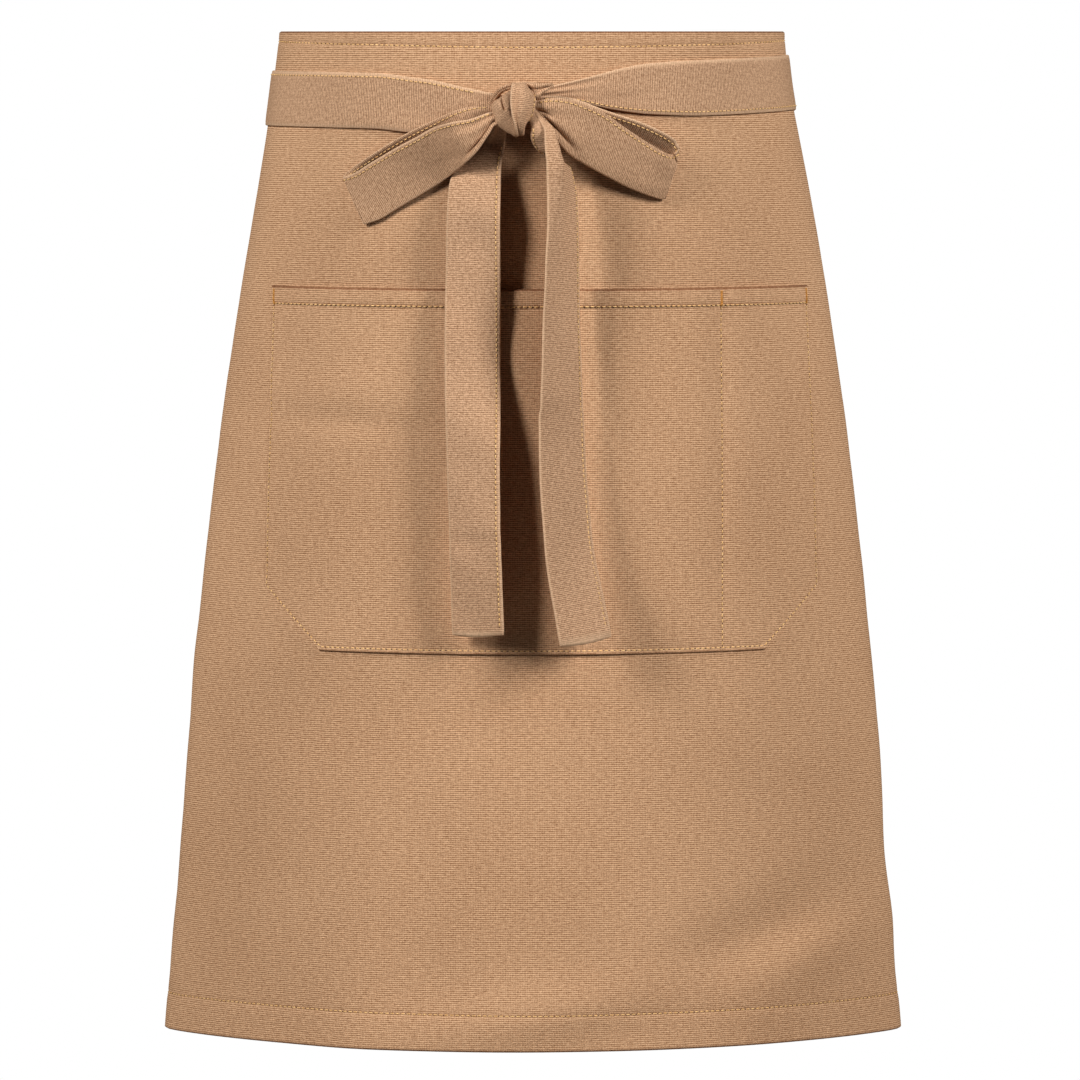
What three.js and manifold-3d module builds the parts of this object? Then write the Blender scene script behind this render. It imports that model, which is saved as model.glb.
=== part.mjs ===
// A waist apron as it is worn: one hemmed canvas panel wrapped round the waist, a patch pocket sewn to its
// front, and two ties that are sewn to the panel's back corners, cross behind the back, come round over the
// panel and are tied in front in a bow with a knot, two loops and two hanging tails.
// Units are millimetres. +Z is up, the front faces -Y, and the origin is the middle of the waist opening, at
// the height of the panel's top fold. Left and right are the viewer's, looking at the front.

import * as THREE from "three";
import Module from "manifold-3d";
import { mergeVertices } from "three/addons/utils/BufferGeometryUtils.js";

// The panel's cloth
const APRON_LENGTH = 600;
const APRON_WIDTH = 700;
const CLOTH_THICKNESS = 1.2;
const HEM_THICKNESS = 2;
const TOP_HEM = 9;
const BOTTOM_HEM = 21;
const SIDE_HEM = 12;

// The body shape that the cloth hangs round
const WAIST_BREADTH = 304;
const HEM_BREADTH = 444;
const WAIST_FRONT = 108;
const HEM_FRONT = 114;
const WAIST_BACK = 98;
const HEM_BACK = 112;
const SIDE_SOFTNESS = 18;
const FOLD_RELIEF = 7;

// The patch pocket
const POCKET_WIDTH = 354;
const POCKET_HEIGHT = 214;
const POCKET_DROP = 151;
const POCKET_SHIFT = 7;
const POCKET_CORNER = 41;
const POCKET_CORNER_RISE = 36;
const POCKET_HEM = 10;
const POCKET_SLACK = 2.4;

// The ties
const TIE_WIDTH = 32;
const TIE_THICKNESS = 1.6;
const TIE_OVERLAP = 34;
const TAIL_LENGTH = 308;

// The bow
const KNOT_BREADTH = 27;
const KNOT_HEIGHT = 31;
const KNOT_DEPTH = 25;
const KNOT_SHIFT = -10;
const KNOT_DROP = 47;
const LOOP_REACH = 100;
const LOOP_OPENING = 15;

// Clearances between pieces
const LAYER_GAP = 0.5;
const SEAT_GAP = 0.3;

// How finely the shapes are faceted
const FRONT_STEP = 17;
const SIDE_STEP = 9;
const ROW_STEP = 35;
const CONTOUR_SAMPLES = 160;
const HEM_STEP = 0.5;

// Sections of the worn panel, from the top fold down. Drop is a share of the apron's length, flare and depth
// are shares of the way from the waist's size to the hem's, and peak is how sharply the cloth turns at the side.
const SECTIONS = [
  { drop: 0, flare: 0, depth: 0, peak: 0 },
  { drop: 0.1, flare: 0.118, depth: 0.25, peak: 0.1 },
  { drop: 0.2, flare: 0.27, depth: 0.4, peak: 0.22 },
  { drop: 0.3, flare: 0.415, depth: 0.4, peak: 0.36 },
  { drop: 0.45, flare: 0.587, depth: 0.35, peak: 0.5 },
  { drop: 0.6, flare: 0.722, depth: 0.4, peak: 0.6 },
  { drop: 0.8, flare: 0.862, depth: 0.65, peak: 0.68 },
  { drop: 1, flare: 1, depth: 1, peak: 0.72 },
];

// Soft folds in the panel. Across is a share of half its width, drop of its length, run and girth are the
// fold's half length and half width as shares of the apron's length, tilt is in degrees up to the right, and
// rise is a share of the fold relief.
const FOLDS = [
  { across: 0.12, drop: 0.955, run: 0.3, girth: 0.03, tilt: 11, rise: 0.55 },
  { across: 0.4, drop: 0.9, run: 0.22, girth: 0.035, tilt: 24, rise: -0.6 },
  { across: 0.52, drop: 0.9, run: 0.13, girth: 0.04, tilt: 38, rise: 0.25 },
  { across: -0.42, drop: 0.61, run: 0.16, girth: 0.035, tilt: 4, rise: 0.35 },
  { across: -0.36, drop: 0.68, run: 0.16, girth: 0.04, tilt: 4, rise: -0.3 },
  { across: 0.72, drop: 0.62, run: 0.2, girth: 0.035, tilt: 82, rise: 0.1 },
  { across: 0.5, drop: 0.05, run: 0.14, girth: 0.06, tilt: 0, rise: -0.2 },
  { across: -0.6, drop: 0.4, run: 0.14, girth: 0.07, tilt: 86, rise: -0.38 },
  { across: -0.6, drop: 0.2, run: 0.16, girth: 0.03, tilt: 84, rise: -0.45 },
  { across: -0.3, drop: 0.97, run: 0.14, girth: 0.05, tilt: 80, rise: 0.5 },
  { across: 0.86, drop: 0.98, run: 0.2, girth: 0.045, tilt: 86, rise: 0.9 },
  { across: -0.86, drop: 0.98, run: 0.2, girth: 0.045, tilt: 94, rise: 0.9 },
];

// Routes of the two ties, from the knot to the sewn end. At is 0 at the front, 1 at the near back corner of
// the panel, 2 at the far back corner and 3 at the sewn end. Drop is the middle's, a share of the knot's drop,
// lift is a share of the way out to the knot, layer counts the ties that it passes over, and gather is the
// width that is left as a share of the tie's.
const LEFT_TIE = [
  { at: 0.03, drop: 0.96, lift: 1, layer: 0, gather: 0.4 },
  { at: 0.1, drop: 0.95, lift: 0.75, layer: 0, gather: 0.72 },
  { at: 0.19, drop: 0.91, lift: 0.2, layer: 0, gather: 0.98 },
  { at: 0.28, drop: 0.85, lift: 0, layer: 0, gather: 1 },
  { at: 0.59, drop: 0.83, lift: 0, layer: 0, gather: 1 },
  { at: 0.82, drop: 0.84, lift: 0, layer: 0, gather: 1 },
  { at: 0.88, drop: 0.83, lift: 0, layer: 1, gather: 1 },
  { at: 1, drop: 0.81, lift: 0, layer: 1, gather: 1 },
  { at: 1.5, drop: 0.62, lift: 0, layer: 1, gather: 1 },
  { at: 1.9, drop: 0.36, lift: 0, layer: 1, gather: 1 },
  { at: 2.2, drop: 0.36, lift: 0, layer: 0, gather: 1 },
  { at: 3, drop: 0.36, lift: 0, layer: 0, gather: 1 },
];
const RIGHT_TIE = [
  { at: 0, drop: 0.78, lift: 1, layer: 0, gather: 0.2 },
  { at: 0.02, drop: 0.75, lift: 0.95, layer: 0, gather: 0.2 },
  { at: 0.05, drop: 0.73, lift: 0.72, layer: 0, gather: 0.28 },
  { at: 0.085, drop: 0.72, lift: 0.48, layer: 0, gather: 0.43 },
  { at: 0.11, drop: 0.72, lift: 0.33, layer: 0, gather: 0.57 },
  { at: 0.15, drop: 0.71, lift: 0.17, layer: 0, gather: 0.76 },
  { at: 0.2, drop: 0.7, lift: 0.06, layer: 0, gather: 0.91 },
  { at: 0.3, drop: 0.69, lift: 0, layer: 0, gather: 1 },
  { at: 0.43, drop: 0.66, lift: 0, layer: 0, gather: 1 },
  { at: 0.59, drop: 0.63, lift: 0, layer: 0, gather: 1 },
  { at: 0.75, drop: 0.84, lift: 0, layer: 0, gather: 1 },
  { at: 0.9, drop: 1.13, lift: 0, layer: 0, gather: 1 },
  { at: 1, drop: 1.15, lift: 0, layer: 0, gather: 1 },
  { at: 1.15, drop: 1.12, lift: 0, layer: 0, gather: 1 },
  { at: 1.5, drop: 0.7, lift: 0, layer: 0, gather: 1 },
  { at: 1.85, drop: 0.39, lift: 0, layer: 0, gather: 1 },
  { at: 2, drop: 0.36, lift: 0, layer: 0, gather: 1 },
  { at: 3, drop: 0.36, lift: 0, layer: 0, gather: 1 },
];

// Routes of the two loops, out along the front ply, round the tip and back along the rear ply. Reach, away
// from the knot, and fall are shares of the loop's reach, and out, in front of the knot's middle, is a share of
// its opening. Lean is the angle of the cloth's width from plumb and tilt how far its lower edge is turned
// back, both in degrees, and gather is as above.
const LEFT_LOOP = [
  { reach: 0.06, fall: 0.02, out: 0.3, lean: 10, tilt: 0, gather: 0.2 },
  { reach: 0.127, fall: 0.033, out: 0.33, lean: 14, tilt: 0, gather: 0.24 },
  { reach: 0.17, fall: 0.071, out: 0.37, lean: 14, tilt: 0, gather: 0.38 },
  { reach: 0.228, fall: 0.117, out: 0.32, lean: 20, tilt: 1, gather: 0.53 },
  { reach: 0.313, fall: 0.16, out: 0.16, lean: 26, tilt: 1, gather: 0.73 },
  { reach: 0.399, fall: 0.206, out: -0.1, lean: 27, tilt: 1, gather: 0.86 },
  { reach: 0.498, fall: 0.27, out: -0.4, lean: 29.5, tilt: 1, gather: 0.94 },
  { reach: 0.622, fall: 0.342, out: -0.86, lean: 29.5, tilt: -2, gather: 0.98 },
  { reach: 0.772, fall: 0.432, out: -1.45, lean: 29.5, tilt: -6, gather: 0.97 },
  { reach: 0.877, fall: 0.495, out: -1.94, lean: 28, tilt: -10, gather: 0.95 },
  { reach: 0.944, fall: 0.517, out: -2.25, lean: 26, tilt: -12, gather: 0.95 },
  { reach: 0.939, fall: 0.506, out: -2.3, lean: 26, tilt: -12, gather: 0.95 },
  { reach: 0.888, fall: 0.469, out: -2.17, lean: 27, tilt: -12, gather: 0.95 },
  { reach: 0.776, fall: 0.395, out: -1.82, lean: 28, tilt: -9, gather: 0.95 },
  { reach: 0.627, fall: 0.3, out: -1.45, lean: 28, tilt: -7, gather: 0.95 },
  { reach: 0.499, fall: 0.228, out: -1.07, lean: 28, tilt: -5, gather: 0.95 },
  { reach: 0.391, fall: 0.173, out: -0.76, lean: 27, tilt: -4, gather: 0.93 },
  { reach: 0.308, fall: 0.12, out: -0.51, lean: 24, tilt: -3, gather: 0.84 },
  { reach: 0.232, fall: 0.064, out: -0.29, lean: 14, tilt: -1, gather: 0.62 },
  { reach: 0.134, fall: 0.017, out: -0.11, lean: 5, tilt: 0, gather: 0.36 },
  { reach: 0.06, fall: -0.01, out: -0.04, lean: 0, tilt: 0, gather: 0.24 },
];
const RIGHT_LOOP = [
  { reach: 0.06, fall: -0.01, out: 0.07, lean: -5, tilt: 0, gather: 0.3 },
  { reach: 0.138, fall: -0.008, out: 0.21, lean: -5, tilt: 0, gather: 0.38 },
  { reach: 0.249, fall: 0.03, out: 0.32, lean: 6, tilt: 3, gather: 0.72 },
  { reach: 0.364, fall: 0.094, out: 0.25, lean: 12, tilt: 3, gather: 0.96 },
  { reach: 0.48, fall: 0.154, out: 0.08, lean: 15.5, tilt: 4, gather: 1 },
  { reach: 0.58, fall: 0.217, out: -0.11, lean: 16.5, tilt: 6, gather: 1 },
  { reach: 0.727, fall: 0.305, out: -0.56, lean: 18.5, tilt: 8, gather: 1 },
  { reach: 0.829, fall: 0.356, out: -0.91, lean: 18, tilt: 8, gather: 0.97 },
  { reach: 0.894, fall: 0.377, out: -1.2, lean: 17, tilt: 6, gather: 0.95 },
  { reach: 0.929, fall: 0.374, out: -1.46, lean: 17.5, tilt: 4, gather: 0.94 },
  { reach: 0.922, fall: 0.349, out: -1.58, lean: 18.5, tilt: 2, gather: 0.94 },
  { reach: 0.888, fall: 0.312, out: -1.6, lean: 20, tilt: -2, gather: 0.94 },
  { reach: 0.815, fall: 0.263, out: -1.46, lean: 20, tilt: -4, gather: 0.95 },
  { reach: 0.667, fall: 0.193, out: -1.17, lean: 20, tilt: -3, gather: 0.95 },
  { reach: 0.521, fall: 0.144, out: -0.91, lean: 20, tilt: -3, gather: 0.95 },
  { reach: 0.432, fall: 0.11, out: -0.74, lean: 19, tilt: -2, gather: 0.94 },
  { reach: 0.331, fall: 0.057, out: -0.53, lean: 16, tilt: -1, gather: 0.86 },
  { reach: 0.257, fall: 0.016, out: -0.36, lean: 12, tilt: -1, gather: 0.7 },
  { reach: 0.163, fall: -0.033, out: -0.2, lean: 2, tilt: 0, gather: 0.4 },
  { reach: 0.08, fall: -0.05, out: -0.13, lean: 0, tilt: 0, gather: 0.28 },
];

// Routes of the two tails, from the knot down. Fall is a share of the tail's length, reach, to the right of
// the knot, and out, in front of its middle, are shares of the tie's width, and turn is how far the cloth's
// right edge is turned back, in degrees.
const LEFT_TAIL = [
  { fall: 0.02, reach: -0.3, out: -0.14, turn: 0, gather: 0.34 },
  { fall: 0.06, reach: -0.48, out: -0.32, turn: 0, gather: 0.62 },
  { fall: 0.1, reach: -0.64, out: -0.4, turn: -5, gather: 0.86 },
  { fall: 0.14, reach: -0.72, out: -0.28, turn: -6, gather: 0.98 },
  { fall: 0.2, reach: -0.745, out: -0.1, turn: -6, gather: 1 },
  { fall: 0.28, reach: -0.75, out: -0.03, turn: -6, gather: 1 },
  { fall: 0.45, reach: -0.76, out: -0.12, turn: -4, gather: 1 },
  { fall: 0.64, reach: -0.75, out: 0.14, turn: -2, gather: 1 },
  { fall: 0.83, reach: -0.71, out: 0.24, turn: -3, gather: 1 },
  { fall: 0.99, reach: -0.66, out: 0.06, turn: -6, gather: 1 },
];
const RIGHT_TAIL = [
  { fall: 0.01, reach: 0.3, out: 0.24, turn: 10, gather: 0.3 },
  { fall: 0.06, reach: 0.66, out: 0.42, turn: 12, gather: 0.36 },
  { fall: 0.11, reach: 0.86, out: 0.44, turn: 22, gather: 0.46 },
  { fall: 0.17, reach: 0.95, out: 0.4, turn: 46, gather: 0.82 },
  { fall: 0.25, reach: 0.96, out: 0.3, turn: 54, gather: 1 },
  { fall: 0.4, reach: 0.88, out: 0.25, turn: 48, gather: 1 },
  { fall: 0.6, reach: 0.87, out: 0.26, turn: 37, gather: 1 },
  { fall: 0.8, reach: 0.98, out: 0.28, turn: 30, gather: 1 },
  { fall: 1, reach: 1.31, out: 0.3, turn: 22, gather: 1 },
];

// Ridges and creases of the knot's wrapped cloth. Bearing goes round the knot from its front, in degrees to
// the right, slant is how far the line moves over for each degree up, spread is its half width in degrees and
// rise is a share of the knot's depth.
const KNOT_FOLDS = [
  { bearing: -48, slant: 0.1, spread: 9, rise: -0.05 },
  { bearing: -24, slant: -0.25, spread: 8, rise: -0.07 },
  { bearing: -8, slant: -0.25, spread: 14, rise: 0.05 },
  { bearing: 40, slant: 0.3, spread: 12, rise: -0.05 },
];

const wasm = await Module();
wasm.setup();

// One column of a table at a value of another, on a smooth curve that never swings past the rows.
function readTable(table, by, column, value) {
  const last = table.length - 1;
  const after = table.findIndex((row) => row[by] >= value);
  const upper = after < 0 ? last : Math.max(after, 1);
  const [before, from, to, beyond] = [-2, -1, 0, 1].map((i) => table[THREE.MathUtils.clamp(upper + i, 0, last)]);
  const slope = (a, b) => (b[column] - a[column]) / (b[by] - a[by] || 1);
  const blend = (one, other) => (one * other > 0 ? (2 * one * other) / (one + other) : 0);
  const middle = slope(from, to);
  const slopeFrom = before === from ? middle : blend(slope(before, from), middle);
  const slopeTo = beyond === to ? middle : blend(middle, slope(to, beyond));
  const span = to[by] - from[by];
  const share = THREE.MathUtils.clamp((value - from[by]) / span, 0, 1);
  const ease = share * share * (3 - 2 * share);
  return (
    between(from[column], to[column], ease) +
    span * share * (1 - share) * ((1 - share) * slopeFrom - share * slopeTo)
  );
}

const between = (from, to, share) => from + (to - from) * share;

// The closed outline of the worn panel's outer face at one height. It is walked by arc length from the middle
// of the front, and softened so that the side turns like cloth.
function makeContour(drop) {
  const at = drop / APRON_LENGTH;
  const [flare, depth, peak] = ["flare", "depth", "peak"].map((column) => readTable(SECTIONS, "drop", column, at));
  const breadth = between(WAIST_BREADTH, HEM_BREADTH, flare) / 2;
  const front = between(WAIST_FRONT, HEM_FRONT, depth);
  const back = between(WAIST_BACK, HEM_BACK, depth);
  const half = [new THREE.Vector2(0, -front)];
  const lengths = [0];
  for (let i = 1; i <= CONTOUR_SAMPLES; i++) {
    const angle = (Math.PI * i) / CONTOUR_SAMPLES;
    const cosine = Math.cos(angle);
    const reach = Math.sign(cosine) * Math.abs(cosine) ** (1 + peak);
    half.push(new THREE.Vector2(breadth * Math.sin(angle), -reach * (cosine > 0 ? front : back)));
    lengths.push(lengths[i - 1] + half[i].distanceTo(half[i - 1]));
  }
  const halfLength = lengths[CONTOUR_SAMPLES];
  const raw = (across) => {
    const turn = 2 * halfLength;
    const wrapped = across - turn * Math.round(across / turn);
    const target = Math.abs(wrapped);
    let i = 1;
    while (i < CONTOUR_SAMPLES && lengths[i] < target) i++;
    const share = (target - lengths[i - 1]) / (lengths[i] - lengths[i - 1]);
    const point = half[i - 1].clone().lerp(half[i], share);
    point.x *= Math.sign(wrapped) || 1;
    return point;
  };
  const soft = (across) => {
    const point = new THREE.Vector2();
    const weights = [1, 2, 3, 2, 1];
    weights.forEach((weight, i) => {
      const shift = ((i - 2) / 2) * SIDE_SOFTNESS;
      point.addScaledVector(raw(across + shift), weight / 9);
    });
    return point;
  };
  let widest = 0;
  for (let i = 0; i <= CONTOUR_SAMPLES; i++) widest = Math.max(widest, soft((halfLength * i) / CONTOUR_SAMPLES).x);
  const stretch = breadth / widest;
  return {
    halfLength,
    pointAt: (across) => soft(across).multiply(new THREE.Vector2(stretch, 1)),
  };
}

const contours = new Map();
function contourAt(drop) {
  if (!contours.has(drop)) contours.set(drop, makeContour(drop));
  return contours.get(drop);
}

// How far the folds push the panel out at one place.
function foldRelief(across, drop) {
  let relief = 0;
  for (const fold of FOLDS) {
    const x = across - (fold.across * APRON_WIDTH) / 2;
    const z = fold.drop * APRON_LENGTH - drop;
    const tilt = THREE.MathUtils.degToRad(fold.tilt);
    const along = (x * Math.cos(tilt) + z * Math.sin(tilt)) / (fold.run * APRON_LENGTH);
    const beside = (z * Math.cos(tilt) - x * Math.sin(tilt)) / (fold.girth * APRON_LENGTH);
    relief += fold.rise * FOLD_RELIEF * Math.exp(-along * along - beside * beside);
  }
  return relief;
}

// A point at an arc length across from the middle of the front, a drop below the top fold, and a distance out
// from the panel's outer face.
function onPanel(across, drop, out) {
  const contour = contourAt(drop);
  const point = contour.pointAt(across);
  const ahead = contour.pointAt(across + 1);
  const behind = contour.pointAt(across - 1);
  const outward = new THREE.Vector2(ahead.y - behind.y, behind.x - ahead.x).normalize();
  const turn = 2 * contour.halfLength;
  point.addScaledVector(outward, out + foldRelief(across - turn * Math.round(across / turn), drop));
  return new THREE.Vector3(point.x, point.y, -drop);
}

// Stops along a line, at its two ends and evenly between, no further apart than the step.
function evenStops(from, to, step) {
  const count = Math.max(1, Math.ceil(Math.abs(to - from) / step - 1e-6));
  return Array.from({ length: count + 1 }, (_, i) => between(from, to, i / count));
}

// A solid wall from a grid of point pairs, one on its inner and one on its outer face, closed round its rim.
function wallGeometry(grid) {
  const columns = grid.length;
  const rows = grid[0].length;
  const faces = [grid.map((column) => column.map((pair) => pair.inner)), grid.map((column) => column.map((pair) => pair.outer))];
  const corner = (face, i, k) => faces[face][i][k];
  const triangles = [];
  const quad = (a, b, c, d) => triangles.push(a, b, c, a, c, d);
  for (let i = 0; i + 1 < columns; i++) {
    for (let k = 0; k + 1 < rows; k++) {
      quad(corner(1, i, k), corner(1, i, k + 1), corner(1, i + 1, k + 1), corner(1, i + 1, k));
      quad(corner(0, i, k), corner(0, i + 1, k), corner(0, i + 1, k + 1), corner(0, i, k + 1));
    }
  }
  for (let i = 0; i + 1 < columns; i++) {
    quad(corner(0, i, 0), corner(1, i, 0), corner(1, i + 1, 0), corner(0, i + 1, 0));
    quad(corner(0, i, rows - 1), corner(0, i + 1, rows - 1), corner(1, i + 1, rows - 1), corner(1, i, rows - 1));
  }
  for (let k = 0; k + 1 < rows; k++) {
    quad(corner(0, 0, k), corner(0, 0, k + 1), corner(1, 0, k + 1), corner(1, 0, k));
    quad(corner(0, columns - 1, k), corner(1, columns - 1, k), corner(1, columns - 1, k + 1), corner(0, columns - 1, k + 1));
  }
  const geometry = new THREE.BufferGeometry().setFromPoints(triangles);
  if (signedVolume(triangles) < 0) geometry.setFromPoints(triangles.reverse());
  return geometry;
}

// Six times the volume inside a list of triangle corners, negative where the faces point inwards.
function signedVolume(corners) {
  let volume = 0;
  for (let i = 0; i < corners.length; i += 3) {
    volume += corners[i].dot(new THREE.Vector3().crossVectors(corners[i + 1], corners[i + 2]));
  }
  return volume;
}

// The panel, with its four folded edges thicker on the inside.
function makePanel() {
  const half = APRON_WIDTH / 2;
  const turnFrom = contourAt(0).halfLength / 2 - SIDE_SOFTNESS;
  const turnTo = Math.min(contourAt(APRON_LENGTH).halfLength / 2 + SIDE_SOFTNESS, half - 2 * SIDE_HEM);
  const halfStops = [
    ...evenStops(0, turnFrom, FRONT_STEP),
    ...evenStops(turnFrom, turnTo, SIDE_STEP).slice(1),
    ...evenStops(turnTo, half - SIDE_HEM - HEM_STEP, FRONT_STEP).slice(1),
    half - SIDE_HEM + HEM_STEP,
    half,
  ];
  const acrossStops = [...halfStops.slice(1).map((stop) => -stop).reverse(), ...halfStops];
  const dropStops = [
    0,
    TOP_HEM - HEM_STEP,
    ...evenStops(TOP_HEM + HEM_STEP, APRON_LENGTH - BOTTOM_HEM - HEM_STEP, ROW_STEP),
    APRON_LENGTH - BOTTOM_HEM + HEM_STEP,
    APRON_LENGTH,
  ];
  const isHem = (across, drop) =>
    drop < TOP_HEM || drop > APRON_LENGTH - BOTTOM_HEM || Math.abs(across) > half - SIDE_HEM;
  return wallGeometry(
    acrossStops.map((across) =>
      dropStops.map((drop) => ({
        inner: onPanel(across, drop, isHem(across, drop) ? -HEM_THICKNESS : -CLOTH_THICKNESS),
        outer: onPanel(across, drop, 0),
      })),
    ),
  );
}

// The patch pocket, open at its mouth, with its lower corners cut off. It stands a little off the panel and
// comes down to it along the sewn edges.
function makePocket() {
  const half = POCKET_WIDTH / 2;
  const cornerFrom = half - POCKET_CORNER;
  const halfStops = [...evenStops(0, cornerFrom, FRONT_STEP), ...evenStops(cornerFrom, half, FRONT_STEP).slice(1)];
  const acrossStops = [...halfStops.slice(1).map((stop) => -stop).reverse(), ...halfStops];
  return wallGeometry(
    acrossStops.map((across) => {
      const intoCorner = Math.max(0, Math.abs(across) - cornerFrom) / POCKET_CORNER;
      const height = POCKET_HEIGHT - intoCorner * POCKET_CORNER_RISE;
      const toSide = 1 - (across / half) ** 4;
      const stops = [0, POCKET_HEM - HEM_STEP, ...evenStops(POCKET_HEM + HEM_STEP, height, ROW_STEP * 0.9)];
      return evenRows(stops, height).map((down) => {
        const toBottom = 1 - (down / height) ** 3;
        const off = LAYER_GAP + POCKET_SLACK * toSide * toBottom;
        const wall = down < POCKET_HEM ? HEM_THICKNESS : CLOTH_THICKNESS;
        const place = [across + POCKET_SHIFT, POCKET_DROP + down];
        return { inner: onPanel(...place, off), outer: onPanel(...place, off + wall) };
      });
    }),
  );
}

// The same number of rows in every column of the pocket, whatever its height.
function evenRows(stops, height) {
  const rows = Math.ceil((POCKET_HEIGHT - POCKET_HEM) / (ROW_STEP * 0.9));
  return [stops[0], stops[1], ...Array.from({ length: rows + 1 }, (_, i) => between(stops[2], height, i / rows))];
}

// Where the middle of the knot is.
const knotCentre = onPanel(KNOT_SHIFT, KNOT_DROP, LAYER_GAP + TIE_THICKNESS + LAYER_GAP + KNOT_DEPTH / 2);

// The knot's lump of wound cloth, grown by a clearance where another piece is cut back from it.
function knotGeometry(clearance) {
  const geometry = new THREE.SphereGeometry(1, 24, 16);
  const places = geometry.getAttribute("position");
  const point = new THREE.Vector3();
  for (let i = 0; i < places.count; i++) {
    point.fromBufferAttribute(places, i).normalize();
    const [right, up, forward] = [point.x, point.y, point.z];
    const bearing = THREE.MathUtils.radToDeg(Math.atan2(right, forward));
    const height = THREE.MathUtils.radToDeg(Math.asin(THREE.MathUtils.clamp(up, -1, 1)));
    let rise = 0;
    for (const fold of KNOT_FOLDS) {
      const beside = (bearing - fold.bearing - fold.slant * height) / fold.spread;
      rise += fold.rise * KNOT_DEPTH * Math.exp(-beside * beside) * Math.cos(THREE.MathUtils.degToRad(height));
    }
    const grown = (size) => size / 2 + clearance + rise;
    places.setXYZ(i, right * grown(KNOT_BREADTH), -forward * grown(KNOT_DEPTH), up * grown(KNOT_HEIGHT));
  }
  return geometry.translate(...knotCentre.toArray());
}

// A three.js geometry as a manifold-3d solid, and back again.
function toSolid(geometry) {
  const bare = new THREE.BufferGeometry();
  bare.setAttribute("position", geometry.getAttribute("position"));
  if (geometry.index) bare.setIndex(geometry.index);
  const merged = mergeVertices(bare);
  const mesh = { numProp: 3, vertProperties: merged.getAttribute("position").array, triVerts: new Uint32Array(merged.index.array) };
  return new wasm.Manifold(new wasm.Mesh(mesh));
}

function toGeometry(solid) {
  const mesh = solid.getMesh();
  const geometry = new THREE.BufferGeometry();
  geometry.setAttribute("position", new THREE.BufferAttribute(new Float32Array(mesh.vertProperties), mesh.numProp));
  return geometry.setIndex(new THREE.BufferAttribute(new Uint32Array(mesh.triVerts), 1));
}

// A strand that runs into the knot, cut back to its surface.
function seatOnKnot(geometry) {
  return toGeometry(toSolid(geometry).subtract(toSolid(knotGeometry(SEAT_GAP))));
}

// A tie's run round the waist, from inside the knot to its sewn end on the far corner of the panel.
function makeTie(table, side) {
  const corner = APRON_WIDTH / 2;
  const halfTurn = contourAt(KNOT_DROP).halfLength;
  const farCorner = 2 * halfTurn - corner;
  const start = side * KNOT_SHIFT + KNOT_BREADTH / 5;
  const arcAt = (at) => {
    if (at <= 1) return at * corner;
    if (at <= 2) return between(corner, farCorner, at - 1);
    return farCorner + (at - 2) * TIE_OVERLAP;
  };
  const atArc = (arc) => {
    if (arc <= corner) return arc / corner;
    if (arc <= farCorner) return 1 + (arc - corner) / (farCorner - corner);
    return 2 + (arc - farCorner) / TIE_OVERLAP;
  };
  const clear = knotCentre.distanceTo(onPanel(KNOT_SHIFT, KNOT_DROP, 0)) - KNOT_DEPTH / 4;
  return evenStops(start, arcAt(3), SIDE_STEP).map((arc) => {
    const [drop, lift, layer, gather] = ["drop", "lift", "layer", "gather"].map((column) =>
      readTable(table, "at", column, atArc(arc)),
    );
    const slope = (readTable(table, "at", "drop", atArc(arc + 1)) - readTable(table, "at", "drop", atArc(arc - 1))) / 2;
    const height = (TIE_WIDTH * gather) / Math.cos(Math.atan(slope * KNOT_DROP));
    const off = LAYER_GAP + layer * (TIE_THICKNESS + LAYER_GAP) + Math.max(0, lift) * (clear - LAYER_GAP);
    return [-0.5, 0, 0.5].map((share) => {
      const down = drop * KNOT_DROP + share * height;
      const across = side * arc * (contourAt(down).halfLength / halfTurn);
      return { inner: onPanel(across, down, off), outer: onPanel(across, down, off + TIE_THICKNESS) };
    });
  });
}

// A free strand of cloth. Each station gives its middle, the way its width runs, its width and the depth of
// its hollow across that width.
function strandGrid(stations, cells) {
  return stations.map((station, i) => {
    const before = stations[Math.max(i - 1, 0)].middle;
    const after = stations[Math.min(i + 1, stations.length - 1)].middle;
    const along = after.clone().sub(before).normalize();
    const wide = station.wide;
    const facing = new THREE.Vector3().crossVectors(along, wide).normalize();
    return evenStops(-0.5, 0.5, 1 / cells).map((share) => {
      const hollow = station.hollow * (1 - 4 * share * share);
      const place = station.middle.clone().addScaledVector(wide, share * station.width).addScaledVector(facing, hollow);
      return {
        inner: place.clone().addScaledVector(facing, -TIE_THICKNESS / 2),
        outer: place.clone().addScaledVector(facing, TIE_THICKNESS / 2),
      };
    });
  });
}

// Every column of a table at even steps of its row number, for routes that turn back on themselves.
function walkTable(table, stepsPerRow) {
  const columns = Object.keys(table[0]);
  const numbered = table.map((row, number) => ({ ...row, number }));
  return evenStops(0, table.length - 1, 1 / stepsPerRow).map((number) =>
    Object.fromEntries(columns.map((column) => [column, readTable(numbered, "number", column, number)])),
  );
}

// A loop of the bow, with its two ends inside the knot.
function makeLoop(table, side) {
  const stations = walkTable(table, 2).map((row) => {
    const lean = THREE.MathUtils.degToRad(row.lean);
    const tilt = THREE.MathUtils.degToRad(row.tilt);
    return {
      middle: knotCentre
        .clone()
        .add(new THREE.Vector3(side * row.reach * LOOP_REACH, -row.out * LOOP_OPENING, -row.fall * LOOP_REACH)),
      wide: new THREE.Vector3(
        -side * Math.sin(lean) * Math.cos(tilt),
        Math.sin(tilt),
        -Math.cos(lean) * Math.cos(tilt),
      ),
      width: row.gather * TIE_WIDTH,
      hollow: 0,
    };
  });
  return strandGrid(stations, 3);
}

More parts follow.
